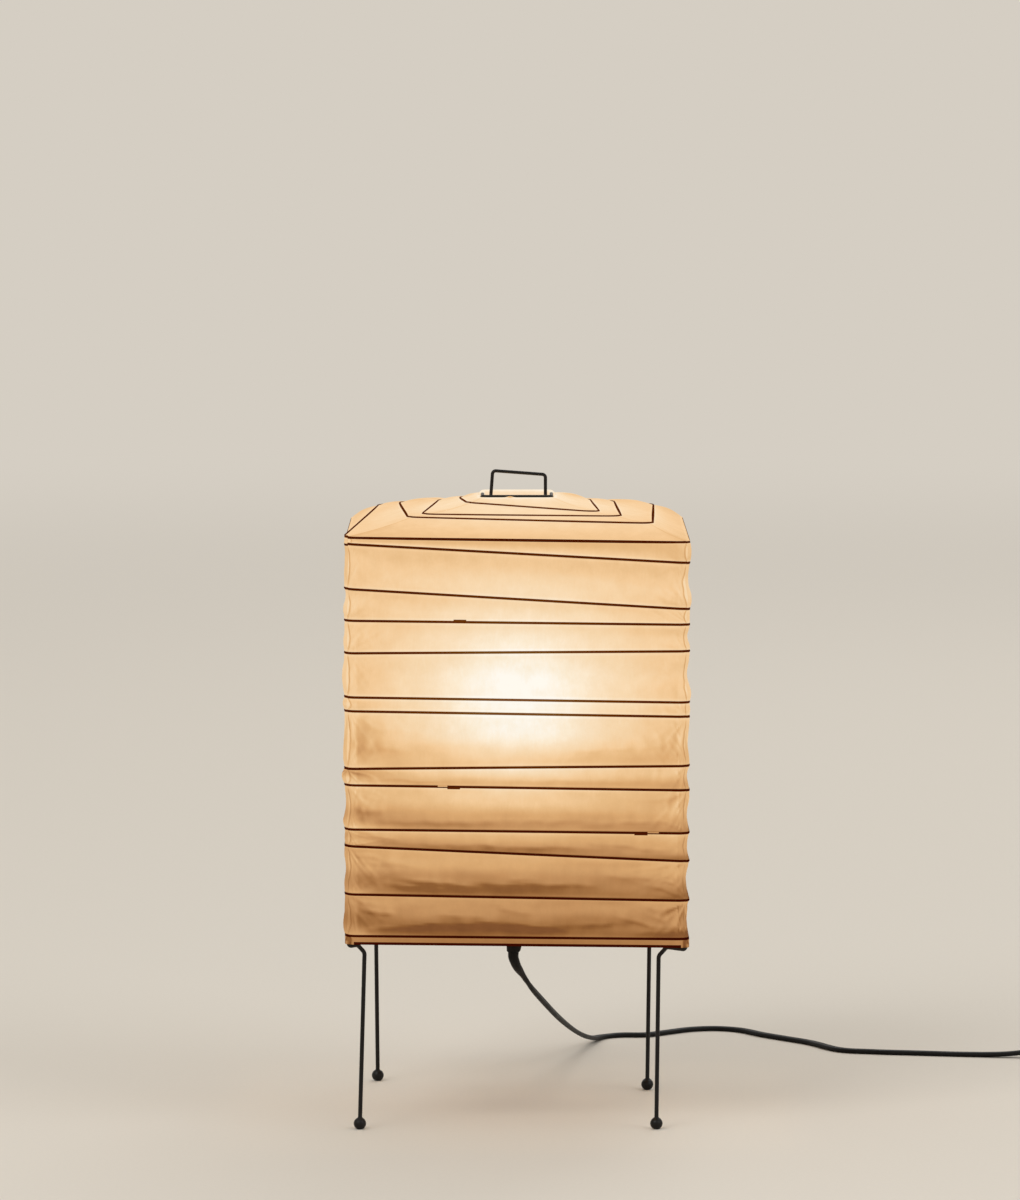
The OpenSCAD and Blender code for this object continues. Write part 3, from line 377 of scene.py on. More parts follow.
# The coil: its middle, radius, step from turn to turn, height of its lower layer and rise
# to the upper one, turns in all, turns inward, the part of a turn that climbs, and rings
# a turn
COIL_MID = Vector((490, 266.1, 0))
COIL_R, COIL_STEP, COIL_LOW, COIL_RISE = 35, 4.1, 4.6, 7.4
COIL_TURNS, TURNS_IN, CLIMB_TURN, COIL_RINGS = 4.25, 2, 0.5, 36
# Length of the lead to the plug and its height on the way, and how far after the switch
# the other lead lies down, and how high
PLUG_LEAD, LEAD_OVER_Z, LEAD_DOWN, LEAD_DOWN_Z = 38, 10.6, 20, 5.32


def spline(route, steps):
    """A smooth line through the route's points."""
    line = []
    p = [Vector(q) for q in route]
    for i in range(len(p) - 1):
        a, b, c, d = p[max(i - 1, 0)], p[i], p[i + 1], p[min(i + 2, len(p) - 1)]
        for j in range(steps):
            t = j / steps
            line.append(0.5 * (2 * b + (c - a) * t + (2 * a - 5 * b + 4 * c - d) * t * t
                               + (3 * b - a - 3 * c + d) * t * t * t))
    return line + [p[-1]]


def way_at(line, i):
    return (line[min(i + 1, len(line) - 1)] - line[max(i - 1, 0)]).normalized()


def twin_section():
    """Two round cores side by side with a groove between them."""
    r, apart = CORD_T / 2, (CORD_W - CORD_T) / 2
    angles = [math.radians(v) for v in range(-120, 121, 30)]
    right = [(apart + r * math.cos(a), r * math.sin(a)) for a in angles]
    left = [(-x, -y) for x, y in right]
    return right + [(0, r * GROOVE)] + left + [(0, -r * GROOVE)]


TWIN = twin_section()
# The round sleeve that is moulded on the cord under the gland: radius and length
SLEEVE_R, SLEEVE_END_R, SLEEVE_L = 3.9, 1.9, 40


def sleeved(x, y, down):
    """A point of the cord's section, so far down the sleeve."""
    bare = ease(2 * down / SLEEVE_L - 1)
    grow = mix(SLEEVE_R, SLEEVE_END_R, min(1, down / SLEEVE_L)) / math.hypot(x, y)
    return mix(x * grow, x, bare), mix(y * grow, y, bare)


def twin_rings(line, ways, rolls, sleeve=False):
    """Rings of the cord. Where it hangs steeply, its sides are carried up from below,
    so that it doesn't twist."""
    sides = [None] * len(line)
    side = Vector((1, 0, 0))
    for i in reversed(range(len(line))):
        way = ways[i]
        steep = math.hypot(way.x, way.y) <= LEVEL_RUN
        side = side - side.dot(way) * way if steep else way.cross(Vector((0, 0, 1)))
        sides[i] = side = side.normalized()
    rings, down = [], 0
    for i, (point, way, side, roll) in enumerate(zip(line, ways, sides, rolls)):
        up = side.cross(way)
        c, s = math.cos(math.radians(roll)), math.sin(math.radians(roll))
        down += (point - line[max(i - 1, 0)]).length
        section = [sleeved(x, y, down) for x, y in TWIN] if sleeve else TWIN
        rings.append([point + (x * c - y * s) * side + (x * s + y * c) * up for x, y in section])
    return rings


# How far the cord turns its narrow side to the front in its drop, in degrees, over how
# many points of its route, and over how many of its rings the sleeve stiffens it
DROP_ROLL, DROP_POINTS, STIFF_RINGS, STIFF_REACH = -60, 10, 30, 6


def drop_roll(i):
    """The cord is turned most in the middle of its drop, and lies flat at both ends."""
    return DROP_ROLL * math.sin(math.pi * min(1, i / (DROP_POINTS * CORD_STEPS))) ** 2


def eased_start(line):
    """Where the sleeve stiffens the cord, it bends more gently than its route."""
    eased = []
    for i in range(len(line)):
        reach = min(i, STIFF_REACH, max(0, (STIFF_RINGS - i) // 2))
        near = line[i - reach:i + reach + 1]
        eased.append(sum(near, Vector()) / len(near))
    return eased


cord_line = eased_start(spline(CORD_ROUTE, CORD_STEPS))
cord_ways = [way_at(cord_line, i) for i in range(len(cord_line))]
cord_ways[0], cord_ways[-1] = Vector((0, 0.01, -1)).normalized(), Vector((1, 0, 0))
cord_rolls = [drop_roll(i) for i in range(len(cord_line))]
free_cord = add_piece(
    "free_cord", *skin(twin_rings(cord_line, cord_ways, cord_rolls, sleeve=True)),
    [CORD_VINYL], "black_cord", ("cord",))


def coil_point(t):
    """The coil: two turns in on the table, half a turn up, and out again on top."""
    climb = ease((t - TURNS_IN) / CLIMB_TURN)
    inward = min(t, TURNS_IN) - max(0, t - TURNS_IN - CLIMB_TURN)
    r = COIL_R + COIL_STEP * (1 - inward)
    a = 2 * math.pi * t
    return COIL_MID + Vector((r * math.sin(a), -r * math.cos(a), COIL_LOW + COIL_RISE * climb))


coil_end = coil_point(COIL_TURNS)
plug_at = Vector((coil_end.x, coil_end.y + PLUG_LEAD, IN_PLUG_Z))
lead_in = spline([
    (SWITCH_END, SWITCH_Y, IN_SWITCH_Z), (SWITCH_END + CORD_W, SWITCH_Y, IN_SWITCH_Z),
    (SWITCH_END + LEAD_DOWN, SWITCH_Y, LEAD_DOWN_Z), tuple(coil_point(0))], 4)[:-1]
coil_line = [coil_point(i / COIL_RINGS) for i in range(round(COIL_TURNS * COIL_RINGS) + 1)]
lead_out = spline([
    tuple(coil_end), (coil_end.x, mix(coil_end.y, plug_at.y, 0.4), LEAD_OVER_Z),
    (plug_at.x, plug_at.y - CORD_W, IN_PLUG_Z), tuple(plug_at)], 4)[1:]
put_away = lead_in + coil_line + lead_out
lead_rolls = [90 * ease(i / (len(lead_in) - 1)) for i in range(len(lead_in))]
out_rolls = [90 * (1 - ease((i + 1) / len(lead_out))) for i in range(len(lead_out))]
coil_ways = [way_at(put_away, i) for i in range(len(put_away))]
coil_ways[0], coil_ways[-1] = Vector((1, 0, 0)), Vector((0, 1, 0))
coil_rolls = lead_rolls + [90] * len(coil_line) + out_rolls
coiled_cord = add_piece(
    "coiled_cord", *skin(twin_rings(put_away, coil_ways, coil_rolls)),
    [CORD_VINYL], "black_cord", ("cord_coil",))

# The strap round the coil: where it stands, its room round the cord, its thickness, half
# its width at the foot and at the top, the height of its middle and half its height
STRAP_AT, STRAP_ROOM, STRAP_T, STRAP_HALF_W = math.radians(115), 1.2, 0.8, (3.5, 3.2)
STRAP_Z, STRAP_HALF_H = 8.1, 7.2
# Its tuck: how much thicker, and from and to which share of the way round
TUCK_T, TUCK_FROM, TUCK_TO = 0.5, 0.28, 0.42


def strap_loop():
    """A moulded rubber strap round the bundle of turns, thicker where its end is tucked
    through."""
    out = Vector((math.cos(STRAP_AT), math.sin(STRAP_AT), 0))
    across = Vector((-out.y, out.x, 0))
    half, (foot_w, top_w) = COIL_STEP + CORD_T / 2 + STRAP_ROOM, STRAP_HALF_W
    rings = []
    for i, (c, s) in enumerate(circle(48)):
        thick = STRAP_T + (TUCK_T if TUCK_FROM < i / 48 < TUCK_TO else 0)
        x, z = COIL_R + half * squared(c, 0.4), STRAP_Z + STRAP_HALF_H * squared(s, 0.4)
        rings.append([COIL_MID + out * (x + c * t) + across * w + Vector((0, 0, z + s * t))
                      for w, t in ((-foot_w, 0), (-top_w, thick), (top_w, thick), (foot_w, 0))])
    return rings


coil_strap = add_piece(
    "coil_strap", *skin(strap_loop(), loop=True), [GLAND_RUBBER], "black_rubber", ("coil_tie",))


# ---------------------------------------------------------------- in-line switch
# How square the switch is from above, and half the opening for its rocker
SLAB, WELL_HALF_L, WELL_HALF_W = 2 / 3.4, 10.5, 5.0
# Rows of the two halves and of the opening, as (inside the outline, height)
CASE_ROWS = [(1.4, 0.05), (0.5, 0.5), (0.1, 1.6), (0, 3.5), (0, 6.6), (0.35, 6.95)]
LID_ROWS = [(0.35, 7.05), (0, 7.4), (0.1, 9.5), (0.6, 11.6), (1.5, 13), (2.9, 13.75), (4.2, 13.95)]
WELL_ROWS = [(-0.5, 14), (-0.1, 13.8), (0, 13.4), (0, 7.6), (-0.5, 7.05)]


def switch_outline(inset, height):
    """The switch at a height: a rounded slab."""
    a, b = SWITCH_L / 2 - inset, SWITCH_W / 2 - inset
    return [(SWITCH_MID + a * squared(c, SLAB), SWITCH_Y + b * squared(s, SLAB), height)
            for c, s in circle(64)]


def rocker_well(inset, height):
    """The opening for the rocker at a height, with its gap."""
    ring = []
    for c, s in circle(64):
        far = max(abs(c) / (WELL_HALF_L - inset), abs(s) / (WELL_HALF_W - inset))
        ring.append((SWITCH_MID + c / far, SWITCH_Y + s / far, height))
    return ring


switch_case = add_piece(
    "switch_case", *skin([switch_outline(*row) for row in CASE_ROWS]),
    [SWITCH_RESIN], "switch_plastic", ("switch_base",))
lid_rings = [switch_outline(*row) for row in LID_ROWS] + [rocker_well(*row) for row in WELL_ROWS]
switch_lid = add_piece(
    "switch_lid", *skin(lid_rings, loop=True), [SWITCH_RESIN], "switch_plastic", ("switch_cover",))
dress(ROCKER_RESIN, "switch_rocker")
dress(ZINC, "rocker_pin", "switch_screws")


# ---------------------------------------------------------------- plug
# The plug's body, a ribbed neck that swells into a flat grip, as rows of (distance from
# its end, half width, half height)
PLUG_ROWS = [
    (0, 5.0, 4.2), (0.5, 5.6, 4.7), (2.2, 5.6, 4.7), (2.7, 5.0, 4.2), (3.7, 5.2, 4.4),
    (4.2, 6.4, 5.2), (5.9, 6.8, 5.4), (6.4, 6.1, 5.0), (7.4, 6.5, 5.3), (7.9, 7.9, 6.0),
    (10, 9.2, 6.8), (13, 10.5, 7.7), (16, 11.2, 8.2), (18.2, 11.6, 8.4), (18.7, 10.9, 8.4),
    (19.9, 10.9, 8.4), (20.4, 11.8, 8.45), (21.6, 11.8, 8.45), (22.1, 11.1, 8.45),
    (23.3, 11.1, 8.45), (23.8, 12.0, 8.5), (25.0, 12.0, 8.5), (25.5, 11.2, 8.5),
    (26.7, 11.2, 8.5), (27.2, 12.0, 8.5), (30.6, 12.0, 8.5), (31.6, 11.7, 8.2), (32.0, 11.0, 7.5)]
PLUG_SQUARE = 0.55
plug_rings = [
    [plug_at + Vector((-half_w * squared(c, PLUG_SQUARE), along, half_h * squared(s, PLUG_SQUARE)))
     for c, s in circle(40)] for along, half_w, half_h in PLUG_ROWS]
plug_grip = add_piece(
    "plug_grip", *skin(plug_rings), [PLUG_VINYL], "plug_plastic", ("plug_body",), sharp=50)
dress(NICKEL, "plug_blades")


# ---------------------------------------------------------------- form of the shade
# Half widths of the shade and of its mouth, and radii of the corners
HALF, TOP_HALF, CORNER_R, ROOF_CORNER_R, TOP_RING_R = 120, 24.5, 8, 11, 4
# Heights of the bottom ring, the eave and the top ring
SHADE_Z, EAVE_Z, TOP_Z = 133, 418.5, 440
# The rings' wire, and half the width, the corners and the lean of the bottom ring
RING_D, RING_HALF, RING_R, RING_LEAN = 2.4, 118.65, 9, math.radians(0.58)
# The paper with its paste, the room between parts that touch, and how far the paper is
# drawn in on the walls and the roof for each mm of the band
PAPER_T, SEAT, WALL_SAG, ROOF_SAG = 0.6, 0.15, 0.056, 0.03
# Numbers of the winding's corners: the first on the eave, the first of the last turn, and
# the place of the rear right one in each turn
FIRST_EAVE, LAST_TURN, REAR_RIGHT = 16, 64, 2
# The way that the paper faces at the eave and the mouth and on the roof, how far below
# the ring the roof's paper begins, and how much lower than it lies the last turn shows
SLANT_OUT, SLANT_UP, ROOF_OUT, ROOF_UP = 0.75, 0.65, 0.1, 1.0
MOUTH_DROP, LAST_LOWER = 0.8, 1.6
# The roof's curve from the mouth to the eave: hollow, then round
ROOF_CURVE = (1, -1.94, 2.78, -1.84)
# How far out each corner of the roof's turns lies, and how far down the front wall each
# turn begins on the left and ends on the right
ROOF_TURNS = [0.03, 0.17, 0.12, 0.35, 0.30, 0.34, 0.44, 0.51, 0.48, 0.63, 0.55, 0.74, 0.78, 0.80]
WALL_TURNS = [
    (0, 0.012), (0.016, 0.063), (0.126, 0.176), (0.204, 0.214), (0.284, 0.279),
    (0.392, 0.405), (0.426, 0.44), (0.568, 0.561), (0.608, 0.621), (0.717, 0.727),
    (0.758, 0.796), (0.877, 0.893), (0.974, 0.982)]
# The same at the rear corners of the last turn, and how unevenly the others share out
# their drop there
LAST_REAR, HAND_SET = (0.984, 0.975), 0.07


def roof_z(w):
    """The roof's height so far out from the middle."""
    s = (w - TOP_HALF) / (HALF - TOP_HALF)
    return EAVE_Z + (TOP_Z - EAVE_Z) * sum(c * s ** n for n, c in enumerate(ROOF_CURVE))


def ring_z(corner):
    """The bottom ring leans: its left corners lie higher."""
    return SHADE_Z + (1 if corner in (0, 3) else -1) * RING_HALF * math.sin(RING_LEAN)


def wall_share(turn, corner):
    """How far down the wall a corner of the winding lies."""
    if corner < 2:
        return WALL_TURNS[turn][corner]
    if turn == len(WALL_TURNS) - 1:
        return LAST_REAR[corner - REAR_RIGHT]
    part = (corner - 1) / 3 + HAND_SET * math.sin(math.radians(140 * turn + 50 * corner))
    return mix(WALL_TURNS[turn][1], WALL_TURNS[turn + 1][0], part)


def corner_at(k):
    """A corner of the winding: how far out, how high, and the way that points out of
    the paper there."""
    if k < FIRST_EAVE:
        w = mix(TOP_HALF, HALF, ROOF_TURNS[k - 2])
        return (w, roof_z(w), ROOF_OUT, ROOF_UP)
    turn, corner = divmod(k - FIRST_EAVE, 4)
    out, up = (SLANT_OUT, SLANT_UP) if turn == 0 else (1.0, 0.0)
    z = mix(EAVE_Z, SHADE_Z, wall_share(turn, corner))
    return (HALF, z - (LAST_LOWER if k >= LAST_TURN else 0), out, up)


def corner_radius(w):
    """The strips turn the roof's corners in a wider bend than the walls'."""
    widest = mix(ROOF_CORNER_R, CORNER_R, ease((w - 0.86 * HALF) / (0.14 * HALF)))
    return min(widest, TOP_RING_R + w - TOP_HALF)


def run_point(a, b, share, angle, off):
    """The point of a run at a share of the side and an angle round its corner, moved
    out by off, as a vector of along, out and height."""
    w = mix(a[0], b[0], share)
    r = corner_radius(w)
    c, s = math.cos(angle), math.sin(angle)
    along = mix(-(a[0] - corner_radius(a[0])), b[0] - corner_radius(b[0]), share)
    height = mix(a[1], b[1], (along - r * s + a[0]) / (a[0] + b[0]))
    out = r + mix(a[2], b[2], share) * off
    return Vector((along - out * s, w - r + out * c, height + mix(a[3], b[3], share) * off))


def on_side(p, side):
    """From a side's own directions to the part's: front, right, back, left."""
    c, s = (1, 0, -1, 0)[side], (0, 1, 0, -1)[side]
    x, y = p[0], -p[1]
    return Vector((c * x - s * y, s * x + c * y, p[2]))


def side_runs(first, last):
    """Runs of one side as (corner, next corner, number of the corner)."""
    return [(corner_at(k), corner_at(k + 1), k) for k in range(first, last + 1, 4)]


def roof_runs(side):
    mouth = (TOP_HALF + RING_D / 2 + SEAT, TOP_Z - MOUTH_DROP, SLANT_OUT, SLANT_UP)
    first = side + 4 if side < 2 else side
    return [(mouth, mouth, 0)] + side_runs(first, FIRST_EAVE + side)


def wall_runs(side):
    return side_runs(FIRST_EAVE + side, min(LAST_TURN + side, LAST_TURN + REAR_RIGHT))


# ---------------------------------------------------------------- light in the paper
BULB_MID = Vector((0, 0, 301.5))
# Light through a flat wall by its distance from the bulb. Below the bulb its neck and
# the holder stand in the light's way, so there the level that the bright spot stands on
# falls with the height, in the middle of a wall and at its edges.
LIGHT = [(120, 0.96), (126, 0.87), (132, 0.79), (138, 0.735), (144, 0.715), (150, 0.675),
         (156, 0.65), (168, 0.625), (180, 0.62), (192, 0.61), (230, 0.59)]
LOW_MIDDLE = [(136, 0.20), (152, 0.225), (182, 0.285), (205, 0.335), (228, 0.395), (251, 0.45),
              (275, 0.54), (301, 0.61)]
LOW_EDGE = [(136, 0.27), (152, 0.29), (182, 0.345), (205, 0.40), (228, 0.445), (251, 0.49),
            (275, 0.54), (301, 0.61)]
# Light high up at the edges of a wall, from which the two tables of the low part start
EDGE_LEVEL = 0.61
# How much it counts that drawn-in paper faces the bulb: above it, and low on a wall in
# the middle and at the edges
FACES_HIGH, FACES_LOW, FACES_LOW_EDGE = 0.5, 2.3, 1.7
# Over how many mm of height that changes, and the least and most that it can make
BELOW_SPAN, LEAST_FACING, MOST_FACING = 40, 0.45, 1.35


def light_through(p, normal, plain):
    """The light that comes through the paper at a point: less with the distance from
    the bulb, more where the drawn-in paper faces it better than plain paper would."""
    ray = p - BULB_MID
    r = ray.length
    below = ease(0.5 - ray.z / BELOW_SPAN)
    aside = clamp(min(abs(p.x), abs(p.y)) / HALF, 0, 1) ** 2
    level = table_value(LIGHT, r)
    if ray.z <= 0:
        level += mix(table_value(LOW_MIDDLE, p.z), table_value(LOW_EDGE, p.z), aside) - EDGE_LEVEL
    facing = max(0.02, normal.dot(ray) / r) / max(0.2, plain.dot(ray) / r)
    counts = mix(FACES_HIGH, mix(FACES_LOW, FACES_LOW_EDGE, aside), below)
    return level * clamp(facing ** counts, LEAST_FACING, MOST_FACING)


# ---------------------------------------------------------------- paper
# Half widths of the bamboo's painted shadow lines on the walls, on the four roof sheets and at the
# eave
RIB_HALF, ROOF_RIB_HALF, EAVE_RIB = 0.88, (1.3, 1.0, 1.3, 1.0), 1.5
# How far the paper stands up over a strip, how wide it is pasted beside it, and how far
# apart its rows lie
RIDGE, ROOF_RIDGE, PASTE_EDGE, ROW_STEP = 0.3, 0.75, 1.7, 1.6
# A dab of paste lifts the front edge of the mouth over the ring: height, place and width
PASTE_DAB, DAB_X, DAB_W = 1.5, -5, 2.4
# Rows of the last band, over the ring, how wide the painted shadow of the ring is, and how
# far round the corner it reaches, in radians
HEM_ROWS, RING_SHOWS, RING_TO = 9, 1.9, 0.3
# Between which angles round the corner the paper comes to lie over a leg's hook, how
# much further out it then lies at the ring and above it, and how far below the ring's
# middle it ends, beside the hook and over it
HOOK_FROM, HOOK_TO, HOOK_OUT, HOOK_SWELL = math.radians(27), math.radians(40), 2.0, 0.9
HEM_LOW, HOOK_LOW = 1.45, 1.2
# How wide the last band has to be to draw its paper in, how far it does so for each mm,
# and a distance that counts as clear of a rib
HEM_WIDE, HEM_SAG, CLEAR_OF_RIB = 9, 0.03, 3.0
# The widest band that still draws the paper in further
WIDE_BAND = 45
# How far the roof's paper is drawn in at its front corners and stands out at its rear
# ones, for each mm of the band
ROOF_PINCH, REAR_PUFF = 0.02, -0.06
# How far the sag of the corners reaches along a side
SEAM_REACH = 15
# Creases are weaker on the roof and in narrow bands, and rise from a rib and from the
# seam of two sheets
ROOF_CREASES, NARROW_BAND, RIB_RISE, SEAM_ANGLE = 0.6, 20, 2.2, math.radians(20)
# The way that the roof's paper faces over the strip of the eave
EAVE_OUT, EAVE_UP = 0.76, 0.65
# Places across a sheet, as (share of the straight side, angle round the corner). They
# are closer together near the corners, where the paper puckers
CORNER_ANGLE = math.radians(45)
ARC = [CORNER_ANGLE - math.radians(3.75 * i) for i in range(12)]
STRAIGHT_L = 2 * (HALF - CORNER_R)
NEAR = [1.3 * i / STRAIGHT_L for i in range(19)]
FAR = [mix(NEAR[-1], 1 - NEAR[-1], i / 80) for i in range(1, 80)]
PLACES = [(0.0, a) for a in ARC]
PLACES += [(s, 0.0) for s in NEAR + FAR + [1 - s for s in reversed(NEAR)]]
PLACES += [(1.0, -a) for a in reversed(ARC)]
# How far the paper is drawn in at the rear corners of the walls, for each mm of the band
REAR_SAGS = (0.06, 0.03)
# How far it stands out at the front ones, in mm, at one, two and three quarters of the way
# down each band
LEFT_STANDS = [
    (0, 0, 0), (-0.6, -0.2, 0.1), (-1.0, 0.2, 0.7), (0.1, 0.6, 0.6), (0.8, 1.5, 1.2),
    (0.8, 1.4, 0.9), (0.1, 0.7, 1.1), (1.4, 2.0, 1.4), (-0.3, -0.6, 0.8), (0, 0.2, 0),
    (0.2, -0.4, 0.2), (0, 0.4, 1.2)]
RIGHT_STANDS = [
    (0.9, 1.2, 0.9), (-1.2, -0.7, 1.2), (0, 0, 0), (-1.0, -1.8, -0.4), (-0.9, -1.9, 0.6),
    (0, 0.4, 0), (-0.4, -1.3, -0.7), (-1.2, -1.7, -1.0), (-0.3, -1.3, -1.9),
    (-1.2, -1.6, -1.6), (-1.9, -2.8, -1.9), (-1.6, -1.9, -1.8)]
# Long folds of the front wall, by band: from and to across the wall, share of the band
# at both ends, depth and width in mm
FRONT_FOLDS = {
    1: [(20, 108, 0.42, 0.62, 0.25, 2.5), (-110, -30, 0.7, 0.62, 0.2, 3.0)],
    2: [(-100, 10, 0.6, 0.7, 0.25, 2.0)],
    4: [(-112, -70, 0.35, 0.5, 0.3, 2.0)],
    6: [(-112, -60, 0.28, 0.36, 0.35, 1.8), (-116, -76, 0.6, 0.68, 0.5, 2.4),
        (30, 112, 0.72, 0.6, 0.3, 2.4)],
    7: [(-116, -40, 0.62, 0.74, 0.45, 1.6), (-20, 100, 0.7, 0.62, 0.3, 1.8)],
    8: [(-114, -92, 0.52, 0.6, 0.55, 1.4), (-108, -10, 0.8, 0.84, 0.6, 2.2),
        (-30, 60, 0.78, 0.74, 0.5, 2.6), (40, 112, 0.86, 0.7, 0.45, 2.0)],
    9: [(-110, -80, 0.36, 0.6, 0.4, 1.2), (-100, 76, 0.72, 0.66, 0.75, 3.0),
        (50, 110, 0.5, 0.66, 0.35, 1.5)],
    10: [(-88, -24, 0.66, 0.8, 1.1, 2.2), (-96, -50, 0.76, 0.86, 0.6, 1.4),
         (-36, 58, 0.72, 0.68, 1.0, 3.2), (-8, 16, 0.62, 0.62, 0.5, 3.0),
         (88, 112, 0.6, 0.84, 0.3, 1.3), (-112, -70, 0.3, 0.36, 0.35, 1.6),
         (60, 100, 0.44, 0.5, 0.3, 2.0)],
    11: [(-106, -20, 0.84, 0.66, 0.85, 2.0), (-30, 36, 0.66, 0.78, 1.0, 2.6),
         (-14, 12, 0.32, 0.36, 0.8, 4.0), (20, 80, 0.74, 0.6, 0.5, 2.4),
         (70, 104, 0.5, 0.78, 0.45, 1.4), (-110, -86, 0.34, 0.46, 0.6, 1.2),
         (-60, -20, 0.46, 0.5, 0.4, 2.4)]}


def folds_by_band(side, bands):
    """The folds of each band of a wall: the front's as they are, the others' by chance."""
    if side == 0:
        return [FRONT_FOLDS.get(band, []) for band in range(bands)]
    chance = random.Random(40 + side)
    folds = []
    for band in range(bands):
        low = band / bands
        some = []
        for _ in range(3 + round(4 * low)):
            start, length = chance.uniform(-114, 70), chance.uniform(25, 95)
            down, tilt = chance.uniform(0.35, 0.85), chance.uniform(-0.14, 0.14)
            depth = mix(0.2, 0.75, low) * chance.uniform(0.5, 1.3)
            some.append((start, min(start + length, 114), down, clamp(down + tilt, 0.2, 0.88),
                         depth, chance.uniform(1.3, 3.0)))
        folds.append(some)
    return folds


def corner_stand(corner, t, gap):
    """How far the paper stands out at a corner of the walls, so far down a band."""
    band, place = divmod(corner - FIRST_EAVE, 4)
    if place >= REAR_RIGHT:
        sag = REAR_SAGS[place - REAR_RIGHT] + 0.03 * wander(corner * 1.7, 0.3, 5.5)
        return -sag * min(gap, WIDE_BAND) * math.sin(math.pi * t)
    # The smooth line through 0, the three values and 0
    first, middle, last = (LEFT_STANDS, RIGHT_STANDS)[place][band]
    ends = (first + last) / math.sqrt(2)
    waves = ((ends + middle) / 2, (first - last) / 2, (ends - middle) / 2)
    return sum(wave * math.sin((n + 1) * math.pi * t) for n, wave in enumerate(waves))


def drawn_in(hem, across, low, t, gap):
    """How far the paper is drawn in between two turns, away from the corners. Low on a
    wall it is tauter on the right."""
    swell = math.sin(math.pi * t)
    if not hem:
        return ROOF_SAG * min(gap, WIDE_BAND) * swell
    taut = 1 - 0.75 * low ** 4 * ease((across + 30) / 80)
    return WALL_SAG * taut * min(gap, WIDE_BAND) * mix(swell, swell * swell, 0.4)


def fold_at(u, drop, gap, folds):
    """A fold draws the paper in slowly from above and lets it out again just below."""
    depth = 0
    for i, (first, last, down, down_to, deep, width) in enumerate(folds):
        s = (u - first) / (last - first)
        if 0 < s < 1:
            v = drop - mix(down, down_to, s) * gap - 1.8 * wander(u / 14, i * 3.3, down * 9)
            uneven = 1 + 0.8 * wander(u / 8, i * 5.1, 2)
            strength = deep * math.sin(math.pi * s) ** 0.7 * uneven
            depth += strength * math.exp(v / (3.5 * width) if v < 0 else -v / width)
    return depth


# How far the puckers reach from a corner, and how soon they start there
PUCKER_REACH, PUCKER_START = 15, 4


def fan(edge, drop, seed):
    """Sharp puckers that run out from the corner of a band, where two turns pinch the
    paper."""
    reach, way = math.hypot(edge, drop), math.atan2(drop, edge)
    near = math.exp(-reach / PUCKER_REACH) * min(1, reach / PUCKER_START)
    strength = clamp(0.75 + 1.3 * wander(seed * 2.31, 4.4, 7), 0.2, 1.3)
    fine = max(0.0, 1 - 5 * abs(wander(way * 3.2, seed * 7.13, reach / 24)))
    broad = wander(way * 2.6, seed * 3.7, 8 + reach / 30)
    return near * strength * (0.75 * fine - 0.7 * broad)


def creases(u, h, side, edge, drop, gap, low, seed, folds):
    """How far the paper stands out of its plain shape: long folds along the band, soft
    waves and shallow dents, and the puckers at the corners."""
    seed += 1 if u < 0 else 2
    puckers = fan(edge, drop, seed) + fan(edge, gap - drop, seed + 0.5)
    waves = mix(0.12, 0.34, low) * wander(u / 85, h / 9.0, side * 7.3)
    dents = mix(0.10, 0.2, low) * wander(u / 24 + 40, h / 11, side * 5.1)
    return waves + dents - fold_at(u, drop, gap, folds) - mix(0.6, 1.15, low) * puckers


def column_steps(gap, count, half, top_half):
    """Distances down a band from rib to rib: the rib's edges, the pasted edge beside
    them, and even steps between."""
    rib, paste = min(half, 0.22 * gap), min(PASTE_EDGE, 0.36 * gap)
    top = min(top_half, 0.3 * gap)
    inner = [mix(max(paste, top + 0.2), gap - paste, i / count) for i in range(count + 1)]
    return [0.0, top] + inner + [gap - rib]


def seam_share(share, angle):
    """1 at a corner, falling to 0 a little way along the side."""
    return math.exp(-min(share, 1 - share) * STRAIGHT_L / SEAM_REACH) if angle == 0 else 1.0


def ridge_at(x, side, hem, band, row):
    """How far the paper stands up where it is pasted over a strip, or over the mouth."""
    if hem:
        return 0.0 if row else RIDGE
    if side == 0 and band == row == 0:
        return PASTE_DAB * math.exp(-((x - DAB_X) / DAB_W) ** 2)
    return 0.0 if row or not band else ROOF_RIDGE


